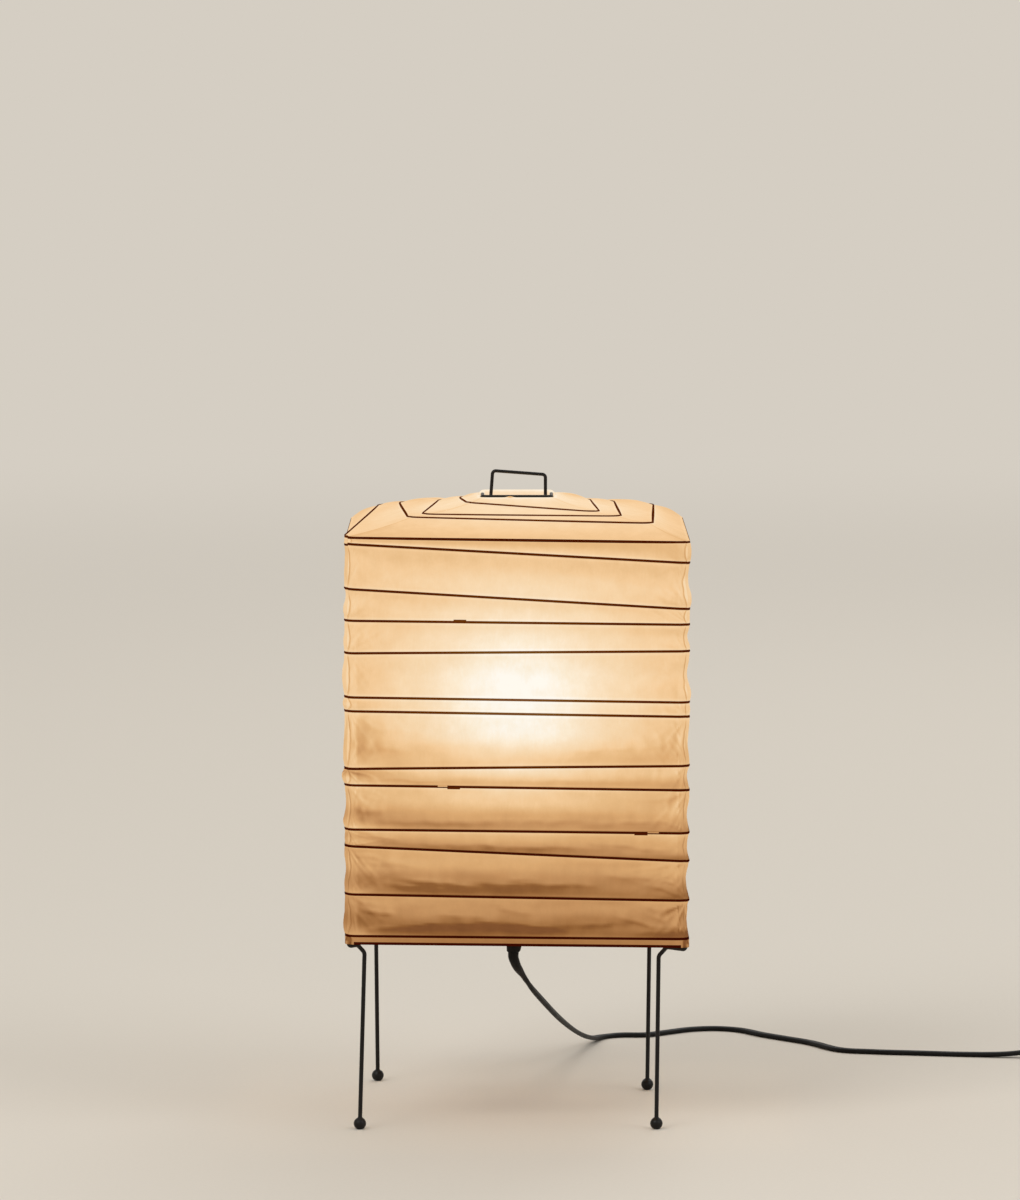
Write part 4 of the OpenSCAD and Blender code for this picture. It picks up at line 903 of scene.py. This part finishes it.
def band_rows(upper, lower, side, hem, band, folds):
    """Rows of one band, from one turn down to the next."""
    tops, feet = ([run_point(*run[:2], s, a, PAPER_T) for s, a in PLACES]
                  for run in (upper, lower))
    gaps = [(q - p).length for p, q in zip(tops, feet)]
    count = max(2, round(max(gaps) / ROW_STEP))
    half = RIB_HALF if hem else ROOF_RIB_HALF[side]
    top_half = EAVE_RIB if hem and band == 0 else half
    steps = [column_steps(gap, count, half, top_half) for gap in gaps]
    rows = []
    for j in range(len(steps[0])):
        row = []
        for (share, angle), p, q, gap, step in zip(PLACES, tops, feet, gaps, steps):
            t = step[j] / gap
            out, up = (mix(upper[0][n], lower[0][n], t) for n in (2, 3))
            normal = Vector((-out * math.sin(angle), out * math.cos(angle), up)).normalized()
            swell = math.sin(math.pi * t)
            point = p.lerp(q, t)
            low = clamp((EAVE_Z - point.z) / (EAVE_Z - SHADE_Z), 0, 1)
            corner, at_front = upper[2] + (share > 0.5), (side + (share > 0.5)) % 4 < 2
            if corner >= FIRST_EAVE:
                stand = corner_stand(corner, t, gap)
            else:
                stand = -(ROOF_PINCH if at_front else REAR_PUFF) * min(gap, WIDE_BAND) * swell
            inside = -drawn_in(hem, point.x, low, t, gap)
            point += mix(inside, stand, seam_share(share, angle)) * normal
            edge = max(0.0, HALF - abs(point.x) if hem else abs(point.y) - abs(point.x))
            crease = creases(point.x, point.z if hem else point.y, side, edge, step[j], gap,
                             low, upper[2], folds)
            crease *= 1.0 if hem else ROOF_CREASES
            crease *= min(1.0, swell * RIB_RISE) * min(1.0, gap / NARROW_BAND)
            # Two sheets meet at the corner without a gap
            crease *= min(1.0, (CORNER_ANGLE - abs(angle)) / SEAM_ANGLE)
            point += (crease + ridge_at(point.x, side, hem, band, j)) * normal
            row.append((point, min(step[j], gap - step[j]), t, normal))
        rows.append((row, band, j, len(steps[0])))
    return rows


def hem_rows(last, side, band):
    """Rows of the last band, over the bottom ring and round the legs' hooks at the
    corners."""
    ring = [(HALF, ring_z(corner % 4), 1, 0) for corner in (side, side + 1)]
    rows = []
    for j in range(HEM_ROWS):
        row = []
        for share, angle in PLACES:
            plain = Vector((-math.sin(angle), math.cos(angle), 0))
            hook = ease((abs(angle) - HOOK_FROM) / (HOOK_TO - HOOK_FROM))
            p = run_point(*last, share, angle, PAPER_T)
            q = run_point(*ring, share, angle, PAPER_T + HOOK_OUT * hook)
            q.z -= mix(HEM_LOW, HOOK_LOW, hook)
            gap = (q - p).length
            inner = mix(RIB_HALF, gap - RING_SHOWS, (j - 1) / (HEM_ROWS - 3))
            t = (0 if j == 0 else gap if j == HEM_ROWS - 1 else inner) / gap
            swell = math.sin(math.pi * t)
            inward = HEM_SAG * gap if gap > HEM_WIDE else 0.0
            stand = mix(-inward, HOOK_SWELL, hook) * swell
            from_rib = 0.0 if j in (0, HEM_ROWS - 1) else CLEAR_OF_RIB
            row.append((p.lerp(q, t) + plain * stand, from_rib, t, plain))
        rows.append((row, band, j, HEM_ROWS))
    return rows


def eave_row(last, band):
    """The last row of a roof sheet, on the strip of the eave."""
    row = []
    for share, angle in PLACES:
        plain = Vector((-EAVE_OUT * math.sin(angle), EAVE_OUT * math.cos(angle), EAVE_UP))
        row.append((run_point(*last, share, angle, PAPER_T + RIDGE), 0.0, 0.0, plain))
    return [(row, band, 0, 1)]


def paper_grid(runs, side, hem):
    """Rows of points over one sheet. Each row is (cells, band, row in the band, rows of
    the band), and each cell is (point, distance from a rib, share of the band, the way
    that plain paper faces)."""
    rows, last = [], len(runs) - 1
    folds = folds_by_band(side, len(runs)) if hem else [[]] * len(runs)
    for band in range(last):
        rows += band_rows(runs[band], runs[band + 1], side, hem, band, folds[band])
    end = runs[-1][:2]
    return rows + (hem_rows(end, side, last) if hem else eave_row(end, last))


# The lapped strip at an edge of the front and back sheets: its width at a turn, how much
# wider it bows between two turns, and how much brighter it is
LAP_W, LAP_BOW, LAP_GAIN = 1.8, 3.2, 1.13
# The line of paste along it and the roof's crease, as (how much darker, half width)
PASTE_LINE, ROOF_SEAM = (0.42, 0.42), (0.15, 0.9)
# The front wall is brighter low on its left: how much, from how far left, over how many
# mm across and over how many down
LEFT_GAIN, LEFT_FROM, LEFT_SPAN, LEFT_DOWN = 0.08, 88, 22, 60


def dark_line(distance, darker, half_width):
    """What a soft dark line leaves of the light at a distance from its middle."""
    return 1 - darker * math.exp(-(distance / half_width) ** 2)


def edge_glow(point, side, share_down, is_roof):
    """The lapped edges at the corners: the front and back sheets end in a double strip
    with a fine line of paste, which bows in between two turns. On the roof the corner is
    one sharp crease."""
    if is_roof:
        return dark_line(abs(point.y) - abs(point.x), *ROOF_SEAM)
    if side in (1, 3):
        return 1.0
    inset = HALF + PAPER_T - abs(point.x)
    left = 1 if point.x < 0 else -1
    bow = 0.75 + 0.6 * wander(point.z / 31, side * 3.1, left * 5)
    line = LAP_W + LAP_BOW * bow * math.sin(math.pi * share_down)
    line += 0.5 * wander(point.z / 5, side, left)
    strip = LAP_GAIN if inset < line else 1.0
    if side == 0 and left > 0:
        low = ease((BULB_MID.z - point.z) / LEFT_DOWN)
        strip *= 1 + LEFT_GAIN * ease((-point.x - LEFT_FROM) / LEFT_SPAN) * low
    return strip * dark_line(inset - line, *PASTE_LINE)


# Splices of the front wall, by turn: place across the wall, whether the lapped end, drawn
# as painted shadow, lies above the line, and the stretch beside it where paper covers the
# strip and no shadow is painted
SPLICES = {
    3: (0.32, True, None), 8: (0.30, False, (-0.05, -0.018)), 9: (0.884, False, (0.02, 0.055))}
SPLICE_HALF = 0.02


def past_loose_end(side, share, angle):
    """The winding ends on the back wall, before it reaches the left one."""
    return side == 2 and (share > 0.8 or share == 1.0 and angle < 0)


def in_rib_shadow(hem, side, band, j, count, share, angle, row_from_end):
    """Whether a face of the paper lies over a strip or the bottom ring, and so gets their painted
    shadow.
    """
    if hem and row_from_end < 1:
        return abs(angle) < RING_TO
    if hem and row_from_end < HEM_ROWS - 1:
        return j == 0 and not past_loose_end(side, share, angle)
    # At the eaves of the side roofs, the strip's painted shadow lies on the wall alone
    if not hem and (band == 0 and j == 0 or side in (1, 3) and row_from_end == 0):
        return False
    rib = j == 0 or j == count - 1
    if hem and side == 2 and row_from_end == HEM_ROWS - 1:
        return rib and not past_loose_end(side, share, angle)
    for turn, (at, above, covered) in SPLICES.items() if hem and side == 0 else ():
        on_turn, before_turn = band == turn, band == turn - 1
        lapped = abs(share - at) < SPLICE_HALF and angle == 0
        beside = before_turn and j == count - 2 if above else on_turn and j == 1
        if lapped and beside:
            return True
        if covered and covered[0] < share - at < covered[1] and before_turn and j == count - 1:
            return False
    return rib


def set_glow(piece, values):
    """Gives each point of a piece the light that comes through it, for the washi."""
    glow = piece.data.attributes.new("glow", "FLOAT", "POINT")
    glow.data.foreach_set("value", values)


# The sheet's own thickness, inward from its face, and the brighter line beside a rib,
# where the paste makes the paper clearer: gain, distance and width
SHEET_T, PASTE_GAIN, PASTE_FROM_RIB, PASTE_W = 0.35, 0.08, 1.5, 0.8


def add_paper(name, side, runs, node, hem):
    """One pasted sheet of washi, drawn in between the turns, with the bamboo's shadow
    painted on it as dark lines and the lamp's light worked out for each point."""
    rows = paper_grid(runs, side, hem)
    cols = len(PLACES)
    cells = [cell for row, _, _, _ in rows for cell in row]
    local = [cell[0] for cell in cells]
    faces, rib_shadow_faces = [], []
    for i in range(len(rows) - 1):
        _, band, j, count = rows[i]
        for k in range(cols - 1):
            share, angle = PLACES[k]
            # Faces with a strip or the ring behind them get the painted shadow
            if in_rib_shadow(hem, side, band, j, count, share, angle, len(rows) - 2 - i):
                rib_shadow_faces.append(len(faces))
            a = i * cols + k
            faces.append((a, a + cols, a + cols + 1, a + 1))
    points = [on_side(p, side) for p in local]
    piece = add_piece(
        name, points, faces, [WASHI, WASHI_RIB_SHADOW], "washi", (node,), faces_of_second=rib_shadow_faces, sharp=80)
    values = []
    for vertex, (_, from_rib, down, plain), p, q in zip(piece.data.vertices, cells, points, local):
        level = light_through(p, vertex.normal, on_side(plain, side))
        level *= edge_glow(q, side, down, not hem)
        clear = PASTE_GAIN * math.exp(-((from_rib - PASTE_FROM_RIB) / PASTE_W) ** 2)
        values.append(level * (1 + clear))
    set_glow(piece, values)
    thickness = piece.modifiers.new("paper_thickness", "SOLIDIFY")
    thickness.thickness = SHEET_T * MM
    thickness.offset = -1


SIDES = ("front", "right", "back", "left")
for side, word in enumerate(SIDES):
    add_paper("washi_wall_" + word, side, wall_runs(side), "paper_" + word, True)
    add_paper("washi_roof_" + word, side, roof_runs(side), "roof_" + word, False)
dress(BAMBOO, "bamboo_upper", "bamboo_middle", "bamboo_short", "bamboo_lower", "bamboo_tail")
dress(WIRE_ENAMEL, "top_ring", "bottom_ring")


# ---------------------------------------------------------------- wires
# The cut end of a wire: its radius and the length of its rounding, for each mm of its
# diameter
END_R, END_L = 0.38, 0.12


def bent_line(points, radii, step=12):
    """A line along straight legs with a round bend at each inner point."""
    p = [Vector(q) for q in points]
    line = [p[0]]
    for i, r in zip(range(1, len(p) - 1), radii):
        u, v = (p[i] - p[i - 1]).normalized(), (p[i + 1] - p[i]).normalized()
        turn = u.angle(v)
        m = (v - u.dot(v) * u).normalized()
        centre = p[i] - u * r * math.tan(turn / 2) + m * r
        n = max(2, math.ceil(math.degrees(turn) / step))
        for j in range(n + 1):
            a = turn * j / n
            line.append(centre - m * r * math.cos(a) + u * r * math.sin(a))
    return line + [p[-1]]


def wire_rings(line, d, sides=20):
    """Rings of a round wire with slightly rounded ends. Its sides are carried along
    without twist."""
    ways = [way_at(line, i) for i in range(len(line))]
    side = ways[0].orthogonal().normalized()
    rings = []
    for i, (point, way) in enumerate(zip(line, ways)):
        side = (side - side.dot(way) * way).normalized()
        up = side.cross(way)
        round_it = [c * side + s * up for c, s in circle(sides)]
        if i == 0:
            rings.append([point + q * d * END_R for q in round_it])
            rings.append([point + way * d * END_L + q * d / 2 for q in round_it])
        elif i == len(line) - 1:
            rings.append([point - way * d * END_L + q * d / 2 for q in round_it])
            rings.append([point + q * d * END_R for q in round_it])
        else:
            rings.append([point + q * d / 2 for q in round_it])
    return rings


# The legs' wire, and the balls with the flats that they stand on
LEG_D, BALL_D, BALL_FLAT = 3, 8.8, 0.4
# A leg hooks round the bottom ring, starts on the hub beside the stem and its nut, and
# has four bends
HOOK = RING_D / 2 + LEG_D / 2 + SEAT
HUB_Z, NUT_W, STEM_D = SHADE_Z + HOOK, 14, 10
LEG_INNER = NUT_W * 0.58 + STEM_D * 0.3
LEG_BENDS = [HOOK - 0.05, HOOK - 0.05, 4, 4]
# Each leg is bent by hand: corner signs, shank inside the side, knee drop, and how far
# the foot stands out of the knee
LEG_SHAPES = [
    (-1, -1, 13, 6, 3.5, -1), (1, -1, 20.5, 7, -1.5, 6), (1, 1, 23, 7, -2, -24),
    (-1, 1, 17, 6, -1, 13)]
LEG_NAMES = ("front_left", "front_right", "rear_right", "rear_left")


def leg_points(i):
    """The bends of a leg, from the hub out to the ring, round it and down to the foot."""
    sx, sy, inside, drop, foot_x, foot_y = LEG_SHAPES[i]
    z = ring_z(i)
    reach = (RING_HALF - RING_R) + RING_R / math.sqrt(2) + HOOK / math.sqrt(2)
    knee = HALF - inside
    bends = [
        (LEG_INNER, LEG_INNER, HUB_Z), (reach, reach, z + HOOK), (reach, reach, z - HOOK),
        (knee + drop * 0.8, knee + drop * 0.8, z - HOOK), (knee, knee, z - HOOK - drop),
        (knee + foot_x, knee + foot_y, BALL_D / 2 - BALL_FLAT)]
    return [Vector((x * sx, y * sy, height)) for x, y, height in bends]


# Rings of a ball from pole to pole, and the fillet of paint up its wire: radius at the
# foot and the top, and the heights at which it narrows and ends
BALL_RINGS, FILLET_R, FILLET_TOP_R, FILLET_Z, FILLET_TOP = 24, 2.0, 1.62, 3.9, 4.6


def ball_rings(middle, way):
    """A ball foot: worn flat on the table, with a fillet of paint up the wire."""
    r = BALL_D / 2
    rings = []
    for i in range(2, BALL_RINGS + 1):
        a = math.pi * i / BALL_RINGS
        ring_r, z = r * math.sin(a), r * math.cos(a)
        if z > 0 and ring_r < FILLET_R:
            ring_r = FILLET_R if z < FILLET_Z else FILLET_TOP_R
            z = mix(z, FILLET_TOP, 0.5)
        # The flat closes in one small last ring
        ring_r, z = max(ring_r, 0.3), max(z, -(r - BALL_FLAT))
        # The fillet leans with the wire
        lean = way * (z / way.z) * 0.9 if z > 3 else Vector()
        centre = middle + Vector((lean.x, lean.y, z))
        rings.append([centre + Vector((ring_r * c, ring_r * s, 0)) for c, s in circle(32)])
    return rings


for i, word in enumerate(LEG_NAMES):
    bends = leg_points(i)
    line = bent_line(bends, LEG_BENDS)
    add_piece(
        "wire_leg_" + word, *skin(wire_rings(line, LEG_D)),
        [WIRE_ENAMEL], "black_wire", ("leg_" + word,))
    up_the_leg = (bends[4] - bends[5]).normalized()
    add_piece(
        "ball_" + word, *skin(ball_rings(bends[5], up_the_leg)),
        [WIRE_ENAMEL], "black_ball", ("foot_" + word,), sharp=60)

# The stretcher stands on the hub plate in its tubes, leans in over its shoulders to the
# mouth and rises to the handle
SLIP, PLATE_T = 0.1, 2
PLATE_TOP = HUB_Z + LEG_D / 2 + SLIP + PLATE_T
STRETCHER_D, STRETCHER_X, HANDLE_W, HANDLE_H = 2.4, 41, 39, 15.4
STRETCHER_FOOT, STRETCHER_SLOPE, STRETCHER_BEND, HANDLE_BEND = PLATE_TOP + SLIP, 34, 12, 2.4
SHOULDER_Z, SHOULDER_X = TOP_Z - RING_D / 2 - STRETCHER_D / 2 - SEAT, TOP_HALF + 1.5
# The handle stands a little to the right, and its top slopes down to the right
HANDLE_AT, HANDLE_LEAN, HANDLE_TOP = 0.8, 1.4, TOP_Z + HANDLE_H
HANDLE_L, HANDLE_R = HANDLE_AT - HANDLE_W / 2, HANDLE_AT + HANDLE_W / 2
stretcher_bends = [(x, 0, z) for x, z in (
    (-STRETCHER_X, STRETCHER_FOOT), (-STRETCHER_X, SHOULDER_Z - STRETCHER_SLOPE),
    (-SHOULDER_X, SHOULDER_Z), (HANDLE_L, SHOULDER_Z),
    (HANDLE_L + HANDLE_LEAN, HANDLE_TOP + HANDLE_LEAN), (HANDLE_R, HANDLE_TOP - HANDLE_LEAN),
    (HANDLE_R, SHOULDER_Z), (SHOULDER_X, SHOULDER_Z),
    (STRETCHER_X, SHOULDER_Z - STRETCHER_SLOPE), (STRETCHER_X, STRETCHER_FOOT))]
stretcher_line = bent_line(stretcher_bends, [STRETCHER_BEND] + [HANDLE_BEND] * 6 + [STRETCHER_BEND])
add_piece(
    "wire_stretcher", *skin(wire_rings(stretcher_line, STRETCHER_D)),
    [WIRE_ENAMEL], "black_wire", ("stretcher",))


# ---------------------------------------------------------------- paper at the mouth
# What a straight side takes of one unit round the mouth
STRAIGHT_SHARE = 0.8


def mouth_line(first, last, steps):
    """Places on the top ring's wire, as (middle, way out), from the front left corner
    along the front and on to the right. One unit is a side with the corner at its end."""
    places = []
    for i in range(steps + 1):
        turn = mix(first, last, i / steps)
        side, part = int(turn // 1) % 4, turn % 1
        straight, r = 2 * (TOP_HALF - TOP_RING_R), TOP_RING_R
        if part < STRAIGHT_SHARE:
            x, y, out = straight * (part / STRAIGHT_SHARE - 0.5), TOP_HALF, Vector((0, 1, 0))
        else:
            a = math.pi / 2 * (part - STRAIGHT_SHARE) / (1 - STRAIGHT_SHARE)
            x, y = straight / 2 + r * math.sin(a), straight / 2 + r * math.cos(a)
            out = Vector((math.sin(a), math.cos(a), 0))
        places.append((on_side((x, y, TOP_Z), side), on_side((out.x, out.y, 0), side)))
    return places


# The paper strip in the mouth: thickness, how unevenly its edge is torn, in the large
# and in the small, and how loose it lies
STRIP_T, TORN, TORN_FINE, LOOSE = 0.3, 0.9, 0.4, 0.22


def collar_rings(places, profile, seed):
    """A strip of washi along the wire, its outer edge torn and a little loose."""
    rings = []
    for i, (middle, out) in enumerate(places):
        torn = TORN * wander(i / 4.3, seed, 0) + TORN_FINE * wander(i / 1.3, seed, 7)
        loose = LOOSE * wander(i / 6.0, seed, 3)
        outer = [(o + (loose if k < 2 else 0), z) for k, (o, z) in enumerate(profile)]
        (last_o, last_z), (o, z) = outer[-2:]
        outer[-1] = (o + torn * (o - last_o), z + torn * (z - last_z))
        inner = []
        for k, (o, z) in enumerate(outer):
            a, b = outer[max(k - 1, 0)], outer[min(k + 1, len(outer) - 1)]
            step = STRIP_T / math.hypot(b[0] - a[0], b[1] - a[1])
            inner.append((o + step * (b[1] - a[1]), z - step * (b[0] - a[0])))
        rings.append([middle + out * o + Vector((0, 0, z)) for o, z in outer + inner[::-1]])
    return rings


# Round the back and half of the sides, the strip is folded over the wire. Along the
# front it only stands inside it. Both are given as (out from the wire, height)
FOLDED = [(-1.68, -6.5), (-1.68, -3.0), (-1.66, 0.0), (-1.45, 0.75), (-0.9, 1.3), (0.0, 1.55),
          (0.95, 1.3), (1.6, 0.75), (2.2, 0.15), (2.8, -0.25), (3.4, -0.6)]
INSIDE = [(-1.68, -6.5), (-1.68, -4.5), (-1.66, -2.5), (-1.64, -1.0), (-1.6, -0.2), (-1.55, 0.4)]
COLLAR_STEPS = 110
# Light through the strip below the wire and above it
COLLAR_LOW, COLLAR_HIGH = 0.72, 0.86
collar_points, collar_faces = [], []
for first, last, profile in ((1.45, 3.4, FOLDED), (3.42, 5.43, INSIDE)):
    places = mouth_line(first, last, COLLAR_STEPS)
    points, faces = skin(collar_rings(places, profile, len(profile)))
    shift = len(collar_points)
    collar_points += points
    collar_faces += [tuple(v + shift for v in face) for face in faces]
collar = add_piece(
    "washi_collar", collar_points, collar_faces, [WASHI], "washi", ("ring_collar",), sharp=70)
set_glow(collar, [
    mix(COLLAR_LOW, COLLAR_HIGH, ease((p.z - TOP_Z + 1) / 2)) for p in collar_points])


# ---------------------------------------------------------------- gland, hub and lampholder
# The rubber gland under the stem: its top and tip, how far it leans with the pull of the
# cord, its radius at the collar and at the tip, and where its taper starts
GLAND_TOP, GLAND_TIP, GLAND_LEAN = 132.3, 111.3, -2.5
GLAND_R, GLAND_TIP_R, TAPER_FROM = 7.5, 4.8, 0.14
# Its grooves, as (share of the way down, depth)
GLAND_ROWS = [
    (0, 0.9), (0.02, 0.2), (0.04, 0), (0.14, 0), (0.16, 0.5), (0.20, 0.5), (0.22, 0), (0.32, 0),
    (0.34, 0.8), (0.40, 0.8), (0.42, 0), (0.50, 0), (0.52, 0.8), (0.58, 0.8), (0.60, 0),
    (0.67, 0), (0.69, 0.7), (0.75, 0.7), (0.77, 0), (0.85, 0), (0.97, 0), (1.0, 0.5)]


def gland_rings():
    """A collar, then a ribbed taper."""
    rings = []
    for down, groove in GLAND_ROWS:
        taper = clamp((down - TAPER_FROM) / (1 - TAPER_FROM), 0, 1)
        r = mix(GLAND_R, GLAND_TIP_R, taper) - groove
        centre = Vector((GLAND_LEAN * down, 0, mix(GLAND_TOP, GLAND_TIP, down)))
        rings.append([centre + Vector((r * c, -r * s, 0)) for c, s in circle(40)])
    return rings


add_piece(
    "cord_gland_rubber", *skin(gland_rings()),
    [GLAND_RUBBER], "black_rubber", ("cord_gland",), sharp=50)
dress(PLATE_ENAMEL, "hub_plate", "stretcher_sockets")
dress(ZINC, "stem", "stem_nuts", "stem_washers")
dress(CORD_VINYL, "inner_lead")
dress(PHENOLIC, "holder_cap", "holder_skirt")
dress(STEATITE, "holder_insert")
dress(BRASS, "thread_sleeve", "centre_contact", "bulb_tip")
dress(ALUMINIUM, "bulb_cap")
dress(VITRITE, "bulb_insulator")
dress(BULB_GLASS, "bulb_glass")


# ---------------------------------------------------------------- studio
# The floor turns up into the backdrop far away on all sides: (metres out, height)
FLOOR_PROFILE = [
    (1.0, 0.0), (4.0, 0.0), (9.0, 0.0), (10.5, 0.12), (11.6, 0.55), (12.3, 1.3), (12.6, 2.3),
    (12.7, 4.0)]
FLOOR_SIDES = 96
# How far out it begins to show its one even tone, and where it does so wholly
EVEN_FROM, EVEN_TO = 1.6, 7.0


def studio_floor():
    """A floor of pale matt paint, with the faintest grain."""
    n = FLOOR_SIDES
    points = [(0, 0, 0)] + [(r * c, r * s, z) for r, z in FLOOR_PROFILE for c, s in circle(n)]
    faces = [(0, 1 + j, 1 + (j + 1) % n) for j in range(n)]
    for i in range(len(FLOOR_PROFILE) - 1):
        a, b = 1 + i * n, 1 + (i + 1) * n
        faces += [(a + j, b + j, b + (j + 1) % n, a + (j + 1) % n) for j in range(n)]
    mesh = bpy.data.meshes.new("studio_floor")
    mesh.from_pydata(points, [], faces)
    mesh.polygons.foreach_set("use_smooth", [True] * len(mesh.polygons))
    material, tree, sockets, place = surface(
        "matt_painted_floor", Roughness=0.9, Specular_IOR_Level=0.2)
    grain = add(tree, "TexNoise", {"Vector": place, "Scale": per_mm(3), "Detail": 3.0})
    add(tree, "ValToRGB", {"Fac": grain}, sockets["Base Color"],
        [(0.3, srgb("#D7D1C7")), (0.7, srgb("#D9D3C9"))])
    # Far from the lamp the floor and the backdrop show one even tone to the camera and in
    # reflections, so that no horizon shows
    level = add(tree, "VectorMath", {0: place, 1: (1, 1, 0)}, operation="MULTIPLY")
    distance = add(tree, "VectorMath", {0: level}, operation="LENGTH").outputs["Value"]
    share = add(tree, "MapRange", {"Value": distance, "From Min": EVEN_FROM, "From Max": EVEN_TO},
                interpolation_type="SMOOTHSTEP")
    rays = add(tree, "LightPath").outputs
    seen = rays["Is Camera Ray"]
    for kind in ("Is Glossy Ray", "Is Transmission Ray"):
        seen = add(tree, "Math", {0: seen, 1: rays[kind]}, operation="MAXIMUM")
    share = add(tree, "Math", {0: share, 1: seen}, operation="MULTIPLY")
    even = add(tree, "Emission", {"Color": srgb("#D5CEC3"), "Strength": 1.0})
    lit, output = (next(node for node in tree.nodes if node.type == kind)
                   for kind in ("BSDF_PRINCIPLED", "OUTPUT_MATERIAL"))
    add(tree, "MixShader", {0: share, 1: lit, 2: even}, output.inputs["Surface"])
    mesh.materials.append(material)
    floor = bpy.data.objects.new("studio_floor", mesh)
    bpy.context.scene.collection.objects.link(floor)
    return floor


def soft_lamp(name, location, aim, size, power, colour="#FFFFFF"):
    data = bpy.data.lights.new(name, "AREA")
    data.shape = "SQUARE"
    data.size = size
    data.energy = power
    data.color = srgb(colour)[:3]
    lamp = bpy.data.objects.new(name, data)
    lamp.location = location
    lamp.rotation_euler = (Vector(location) - Vector(aim)).to_track_quat("Z", "Y").to_euler()
    lamp.visible_camera = False
    bpy.context.scene.collection.objects.link(lamp)


studio_floor()
world = bpy.data.worlds.new("studio_world")
bpy.context.scene.world = world
world.use_nodes = True
world.node_tree.nodes["Background"].inputs["Color"].default_value = srgb("#F4F1EC")
world.node_tree.nodes["Background"].inputs["Strength"].default_value = 0.72
soft_lamp("key_lamp", (-2.6, -3.4, 3.8), (0, 0, 0.2), 2.6, 95)
soft_lamp("fill_lamp", (3.4, -2.2, 2.6), (0, 0, 0.2), 2.8, 45)
soft_lamp("back_lamp", (1.0, 3.6, 3.4), (0, 0, 0.2), 2.4, 40)
bpy.context.scene.view_settings.view_transform = "Standard"
